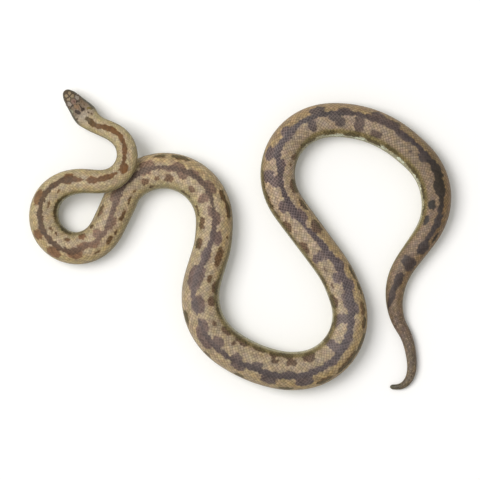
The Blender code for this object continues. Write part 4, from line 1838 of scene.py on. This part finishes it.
@dataclass
class Growth:
    """What the skin's bands add: points with their tints and painted shade in recesses, and faces with
    their map's corners.
    """

    points: list[Array] = field(default_factory=list)
    tints: list[Array] = field(default_factory=list)
    recess_shades: list[Array] = field(default_factory=list)
    polygons: list[Array] = field(default_factory=list)
    corners: list[Array] = field(default_factory=list)

    def add(self, points: Array, tints: Array, recess_shades: Array) -> int:
        """Adds points, and tells the first one's number."""
        total = sum(map(len, self.points))
        self.points.append(points)
        self.tints.append(tints)
        self.recess_shades.append(recess_shades)
        return total


@dataclass
class Skin:
    """One closed skin from the snout to the tail tip, with the head's plates, lips, lids and nostrils."""

    hide: Hide
    markings: Markings
    coat: Coat
    plates: HeadPlates
    eyes: Eyes
    # the columns round the head, halved behind it and again on the body, and the steps between sections
    head_columns: int = 256
    head_step: float = 0.0002
    halving: float = 0.002
    body_step: float = 0.0015
    tip_sections: tuple[float, ...] = (1.4, 1.1, 0.8, 0.55, 0.35, 0.18, 0.07, 0.02)
    # how far below the coat's top the skin lies, as a share of the coat's depth
    body_seat: float = 1.06
    relief_end: float = 0.026
    # the mouth: where it ends, how it fades there, and its half width, depth and the lower lip's setting in
    mouth_corner: float = 0.0213
    mouth_fade: tuple[float, float] = (0.0008, 0.0004)
    mouth_width: float = 0.00016
    mouth_depth: float = 0.00030
    lip_softness: float = 0.00012
    lip_depth: float = 0.00008
    # a nostril: from the snout, up, out as a share of the half width, and its width and depth
    nostril: tuple[float, float] = (0.0023, 0.0050)
    nostril_out: float = 0.86
    nostril_width: float = 0.00032
    nostril_depth: float = 0.00045
    # a lid: its middle past the opening, its width and height, its share under the eye, and where it fades
    lid_gap: float = 0.00026
    lid_width: float = 0.00030
    lid_height: float = 0.00030
    lid_below: float = 0.25
    lid_reach: tuple[float, float] = (-0.0004, 0.0010)
    # what is farther from the middle than this is on one side, where the eyes are
    beside: float = 0.003
    # how near a point is drawn to the opening's circle, in steps, and the hidden skin's share of the globe
    rim_reach: float = 0.6
    behind_globe: float = 0.93
    # painted shade: how dark a groove and a nostril are painted beside the mouth line, and how much that
    # painted shade darkens the tint and the rim
    groove_shade: float = 0.75
    nostril_shade: float = 0.9
    recess_shade_depth: float = 0.55
    recess_shade_rim: float = 0.5
    tail_rounding: float = 0.0016
    # the shares of the snout's front that close it, and how far they reach on the bake map
    front_shares: tuple[float, ...] = (0.8, 0.55, 0.3)
    front_reach: float = 0.0012
    # the bake map: where the head's and the body's fields begin and how long they are, and their margins
    head_field: tuple[float, float] = (0.02, 0.37)
    head_margin: tuple[float, float] = (0.01, 0.98)
    body_field: tuple[float, float] = (0.41, 0.57)
    body_margin: tuple[float, float] = (0.02, 0.96)
    strips: int = 3
    sharp: float = 75.0

    def _bands(self) -> list[tuple[Array, int]]:
        """Runs of sections with the same number of columns: finest on the head."""
        head_end, length = self.hide.form.head_end, self.hide.length
        neck_end = head_end + self.halving
        head = np.arange(0.0, head_end, self.head_step)
        neck = np.arange(head_end, neck_end, 2 * self.head_step)
        body = np.arange(neck_end + self.body_step, length - self.tail_rounding, self.body_step)
        tip = length - np.array(self.tip_sections) * MM
        return [
            (head, self.head_columns),
            (neck, self.head_columns // 2),
            (np.concatenate([body, tip]), self.head_columns // 4),
        ]

    def _shape(self, places: Array, shares: Array) -> tuple[Array, ...]:
        """Folds the skin of a run of sections.

        Args:
            places: distances from the snout, for each point.
            shares: shares of the half section, for each point.

        Returns:
            Arrays of place, across and up, and how much painted shade each point gets in a recess.
        """
        hide = self.hide
        aside, climb = hide.local(places, shares, 0.0, in_shares=True)
        covered = self.coat.cover(places, shares)
        recess_shade = np.zeros(places.shape)
        rise = -self.body_seat * self.coat.depth_at(places) * covered
        on_head = places < self.relief_end
        if on_head.any():
            relief, recess_shade[on_head] = self._features(
                places[on_head], aside[on_head], climb[on_head], 1 - covered[on_head]
            )
            rise[on_head] += relief
        aside, climb = hide.local(places, shares, rise, in_shares=True)
        middle = hide.local(places, np.full(places.shape, 0.5), 0.0, in_shares=True)[1]
        dome = np.sqrt(1 - np.clip(1 - (hide.length - places) / self.tail_rounding, 0.0, 1.0) ** 2)
        return self._open_eyes(places, aside * dome, middle + (climb - middle) * dome, recess_shade)

    def _features(self, place: Array, aside: Array, climb: Array, bare: Array) -> Pair:
        """Works the grooves, the mouth, the nostrils and the lids.

        Args:
            place: how far each point is from the snout.
            aside: how far left of the middle it is.
            climb: how far up it is.
            bare: how free of scales it is.

        Returns:
            How far the skin stands out at each point, and how much painted shade it gets in the grooves,
            the mouth line and the nostrils.
        """
        form = self.hide.form
        groove = self.plates.grooves(np.stack([place, aside, climb], axis=-1) / MM) * bare
        over_mouth = climb - smooth_through(form.mouth, place)
        before, after = self.mouth_fade
        lips = 1 - ease(self.mouth_corner - before, self.mouth_corner + after, place)
        gape = bump(over_mouth, self.mouth_width) * lips
        jaw = (1 - ease(-self.lip_softness, self.lip_softness, over_mouth)) * lips
        snout_side = form.width(place, self.hide.length) / 2
        to_nostril = np.hypot(place - self.nostril[0], climb - self.nostril[1])
        hole = np.hypot(to_nostril, np.abs(aside) - snout_side * self.nostril_out)
        pit = bump(hole, self.nostril_width)
        over_eye = climb - form.eye_height
        around_eye = np.hypot(place - form.eye_at, over_eye)
        lid = bump(around_eye - self.eyes.opening - self.lid_gap, self.lid_width)
        lid *= self.lid_below + (1 - self.lid_below) * ease(*self.lid_reach, over_eye)
        lid *= np.abs(aside) > self.beside
        relief = -self.plates.groove_depth * MM * groove - self.mouth_depth * gape - self.lip_depth * jaw
        relief = relief - self.nostril_depth * pit + self.lid_height * lid
        # painted shade: the grooves, the mouth line and the nostril pits are darkened
        return relief, np.maximum.reduce([self.groove_shade * groove, gape, self.nostril_shade * pit])

    def _open_eyes(self, places: Array, aside: Array, climb: Array, recess_shade: Array) -> tuple[Array, ...]:
        """Opens the skin round the globes: the rim is drawn to a circle, and the rest goes behind, both in
        full painted shade.
        """
        form, opening = self.hide.form, self.eyes.opening
        ahead, over = places - form.eye_at, climb - form.eye_height
        far = np.maximum(np.hypot(ahead, over), TINY)
        on_side = np.abs(aside) > self.beside
        near_rim = self.rim_reach * self.head_step
        rim = on_side & (np.abs(far - opening) < near_rim)
        pull = np.where(rim, opening / far, 1.0)
        places, climb = form.eye_at + ahead * pull, form.eye_height + over * pull
        inside = on_side & (far < opening - near_rim)
        behind = self.eyes.radius * self.behind_globe
        depth = self.eyes.aside + np.sqrt(np.maximum(behind**2 - far**2, 0.0))
        aside = np.where(inside, np.sign(aside) * depth, aside)
        return places, aside, climb, np.where(inside | rim, 1.0, recess_shade)

    def build(self, finish: bpy.types.Material) -> bpy.types.Object:
        """Makes the skin.

        Args:
            finish: its material.

        Returns:
            The piece.
        """
        hide, growth = self.hide, Growth()
        last_ring, last_place = None, 0.0
        for places, columns in self._bands():
            around = (np.arange(columns) * 2 / columns + 1) % 2 - 1
            flat, shares = (grid.ravel() for grid in np.meshgrid(places, around, indexing="ij"))
            warped, aside, climb, recess_shade = self._shape(flat, shares)
            tint, _ = self.markings.tint(hide, flat, shares * hide.half(flat), np.zeros(flat.shape))
            first = growth.add(hide.place(warped, aside, climb), tint, recess_shade)
            rings = first + np.arange(len(flat)).reshape(len(places), columns)
            if last_ring is not None:
                self._join(growth, (last_ring, rings[0]), (last_place, places[0]))
            self._band_faces(growth, rings, places)
            last_ring, last_place = rings[-1], places[-1]
        self._cap(growth, last_ring)
        recess_shade = np.concatenate(growth.recess_shades)
        shell = Shell(
            points=np.vstack(growth.points),
            polygons=growth.polygons,
            # painted shade in the grooves, the mouth, the nostrils and round the eyes darkens the tint and
            # the rim
            tint=np.vstack(growth.tints) * (1 - self.recess_shade_depth * recess_shade)[:, None],
            tone=np.zeros(len(recess_shade)),
            rim=self.recess_shade_rim * recess_shade,
            corners=growth.corners,
        )
        return shell.make("skin", finish, self.sharp)

    def _unwrap(self, places: Array, around: Array) -> Array:
        """Lays faces out flat: the head on the left, and the body in strips beside it.

        Args:
            places: distances from the snout of each face's corners, a row for each face.
            around: shares of the whole girth, likewise.

        Returns:
            The corners' places on the map.
        """
        head_end = self.hide.form.head_end
        strip = (self.hide.length - head_end) / self.strips
        number = np.clip((places.mean(axis=1) - head_end) // strip, 0, self.strips - 1)[:, None]
        (head_from, head_reach), (head_low, head_tall) = self.head_field, self.head_margin
        (body_from, body_reach), (body_low, body_tall) = self.body_field, self.body_margin
        along = body_from + body_reach * (places - head_end - number * strip) / strip
        body = np.stack([along, (number + body_low + body_tall * around) / self.strips], axis=-1)
        head = [head_from + head_reach * places / head_end, head_low + head_tall * around]
        on_head = places.max(axis=1) <= head_end
        return np.where(on_head[:, None, None], np.stack(head, axis=-1), body)

    def _add_faces(
        self, growth: Growth, faces: Sequence[Array], places: Sequence[Array], around: Sequence[Array]
    ) -> None:
        """Adds faces from their corners' point numbers, places and shares of the girth."""
        growth.polygons.append(np.stack(faces, axis=-1).reshape(-1, len(faces)))
        growth.corners.append(self._unwrap(np.stack(places, axis=-1), np.stack(around, axis=-1)))

    def _band_faces(self, growth: Growth, rings: Array, places: Array) -> None:
        """Adds the quads between sections with the same number of columns."""
        columns = rings.shape[1]
        onward = np.roll(rings, -1, axis=1)
        low, high = (np.repeat(part, columns) for part in (places[:-1], places[1:]))
        column = np.tile(np.arange(columns), len(places) - 1)
        begin, end = column / columns, (column + 1) / columns
        faces = (rings[:-1], rings[1:], onward[1:], onward[:-1])
        self._add_faces(growth, faces, (low, high, high, low), (begin, begin, end, end))

    def _join(self, growth: Growth, rings: Pair, places: tuple[float, float]) -> None:
        """Adds the triangles between a section and the next one, which has half its columns."""
        fine, coarse = rings
        count = len(coarse)
        j = np.arange(count)
        wrapped = (j + 1) % count
        first, mid, second = fine[2 * j], fine[2 * j + 1], fine[(2 * j + 2) % len(fine)]
        begin, middle, end = j / count, (j + 0.5) / count, (j + 1) / count
        near, far = (np.full(count, place) for place in places)
        for faces, where, around in (
            ((first, coarse[j], mid), (near, far, near), (begin, begin, middle)),
            ((mid, coarse[j], coarse[wrapped]), (near, far, far), (middle, begin, end)),
            ((mid, coarse[wrapped], second), (near, far, near), (middle, end, end)),
        ):
            self._add_faces(growth, faces, where, around)

    def _cap(self, growth: Growth, last_ring: Array) -> None:
        """Closes the snout's front and the tail's tip."""
        columns = self.head_columns
        front, tint, recess_shade = (rows[0][:columns] for rows in (growth.points, growth.tints, growth.recess_shades))
        middle = front.mean(axis=0)
        rings = [np.arange(columns)]
        for share in self.front_shares:
            total = growth.add(middle + (front - middle) * share, tint, recess_shade * share)
            rings.append(total + np.arange(columns))
        places = -self.front_reach * (1 - np.array([1.0, *self.front_shares]))
        self._band_faces(growth, np.array(rings[::-1]), places[::-1])
        tail = growth.points[2][-len(last_ring) :].mean(axis=0)
        ends = np.array([growth.tints[0][0], growth.tints[2][-1]])
        total = growth.add(np.array([middle, tail]), ends, np.zeros(2))
        for ring, centre, place in (
            (rings[-1][::-1], total, -self.front_reach),
            (last_ring, total + 1, self.hide.length),
        ):
            count = len(ring)
            around = np.arange(count) / count
            faces = (ring, np.full(count, centre), np.roll(ring, -1))
            where = [np.full(count, place)] * 3
            self._add_faces(growth, faces, where, (around, around, around + 1 / count))


# ---------------------------------------------------------------------------------------- stage


@dataclass
class Stage:
    """The floor, the lights and the camera."""

    floor_size: float = 3.0
    view_centre: tuple[float, float] = (0.0, -0.0004)
    view_width: float = 0.361
    eye_level: float = 0.011
    distance: float = 5.0
    clip_end: float = 20.0
    sensor: float = 36.0
    sky: float = 0.54
    sky_colour: Colour = (1.0, 0.99, 0.97)
    key_power: float = 128.0
    key_size: float = 2.4
    key_colour: Colour = (1.0, 0.985, 0.96)
    key_from: tuple[float, float, float] = (-2.0, 0.6, 3.5)

    def build(self, hide: Hide) -> None:
        """Lays the floor, sets the lights and looks straight down on the animal.

        Args:
            hide: the animal's surface, which tells where the middle of the view is.
        """
        reach = self.floor_size / 2
        mesh = bpy.data.meshes.new("floor")
        rows = [(-reach, -reach, 0), (reach, -reach, 0), (reach, reach, 0), (-reach, reach, 0)]
        mesh.from_pydata(rows, [], [(0, 1, 2, 3)])
        mesh.materials.append(FloorFinish().make())
        floor = put("floor", mesh)
        self._light()
        self._camera(hide)

    def _light(self) -> None:
        """A big soft lamp above the left, and an even pale sky."""
        scene = bpy.context.scene
        scene.world = bpy.data.worlds.new("pale_sky")
        scene.world.use_nodes = True
        sky = scene.world.node_tree.nodes["Background"]
        sky.inputs["Color"].default_value = (*self.sky_colour, 1.0)
        sky.inputs["Strength"].default_value = self.sky
        lamp = bpy.data.lights.new("soft_lamp", "AREA")
        lamp.energy, lamp.size = self.key_power, self.key_size
        lamp.color = self.key_colour
        key = put("soft_lamp", lamp)
        key.location = self.key_from
        away = np.array(self.key_from)
        lean = math.acos(away[2] / float(np.linalg.norm(away)))
        key.rotation_euler = (lean, 0.0, math.atan2(away[0], -away[1]))
        scene.view_settings.view_transform = "Standard"

    def _camera(self, hide: Hide) -> None:
        """A long lens straight above."""
        lens = bpy.data.cameras.new("view")
        lens.sensor_width = self.sensor
        lens.lens = lens.sensor_width * self.distance / self.view_width
        lens.clip_end = self.clip_end
        camera = put("view", lens)
        middle = np.array([*self.view_centre, 0.0]) - hide.shift
        camera.location = (middle[0], middle[1], self.distance + self.eye_level)
        bpy.context.scene.camera = camera


def main(frame: dict[str, Any]) -> None:
    """Builds every piece in order.

    Args:
        frame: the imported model.
    """
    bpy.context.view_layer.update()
    logging.basicConfig(level=logging.INFO, format="%(name)s: %(message)s")
    hide = Hide(Spine(), Form())
    plates = HeadPlates(hide)
    markings = Markings(plates)
    coat = Coat(hide, markings)
    eyes = Eyes(hide)
    scale_finish = ScaleFinish("scales").make()
    skin = Skin(hide, markings, coat, plates, eyes).build(ScaleFinish("bare_skin").make())
    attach(skin, "root")
    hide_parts(*[name for name in frame["nodes"] if not name.startswith("eye_")])
    LOG.info("skin: %d faces", len(skin.data.polygons))
    for piece in coat.build(scale_finish):
        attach(piece, "root")
    belly = BellyPlates(hide, markings, coat).build(ScaleFinish("belly_scales").make())
    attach(belly, "root")
    LOG.info("belly plates: %d faces", len(belly.data.polygons))
    eye_finish = EyeFinish().make()
    for side in Side:
        globe = eyes.build(side, eye_finish)
        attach(globe, "root")
        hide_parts(f"eye_{side.name.lower()}")
        LOG.info("%s: %d faces", globe.name, len(globe.data.polygons))
    Stage().build(hide)
    bpy.context.view_layer.update()


if __name__ == "__main__":
    main(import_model())
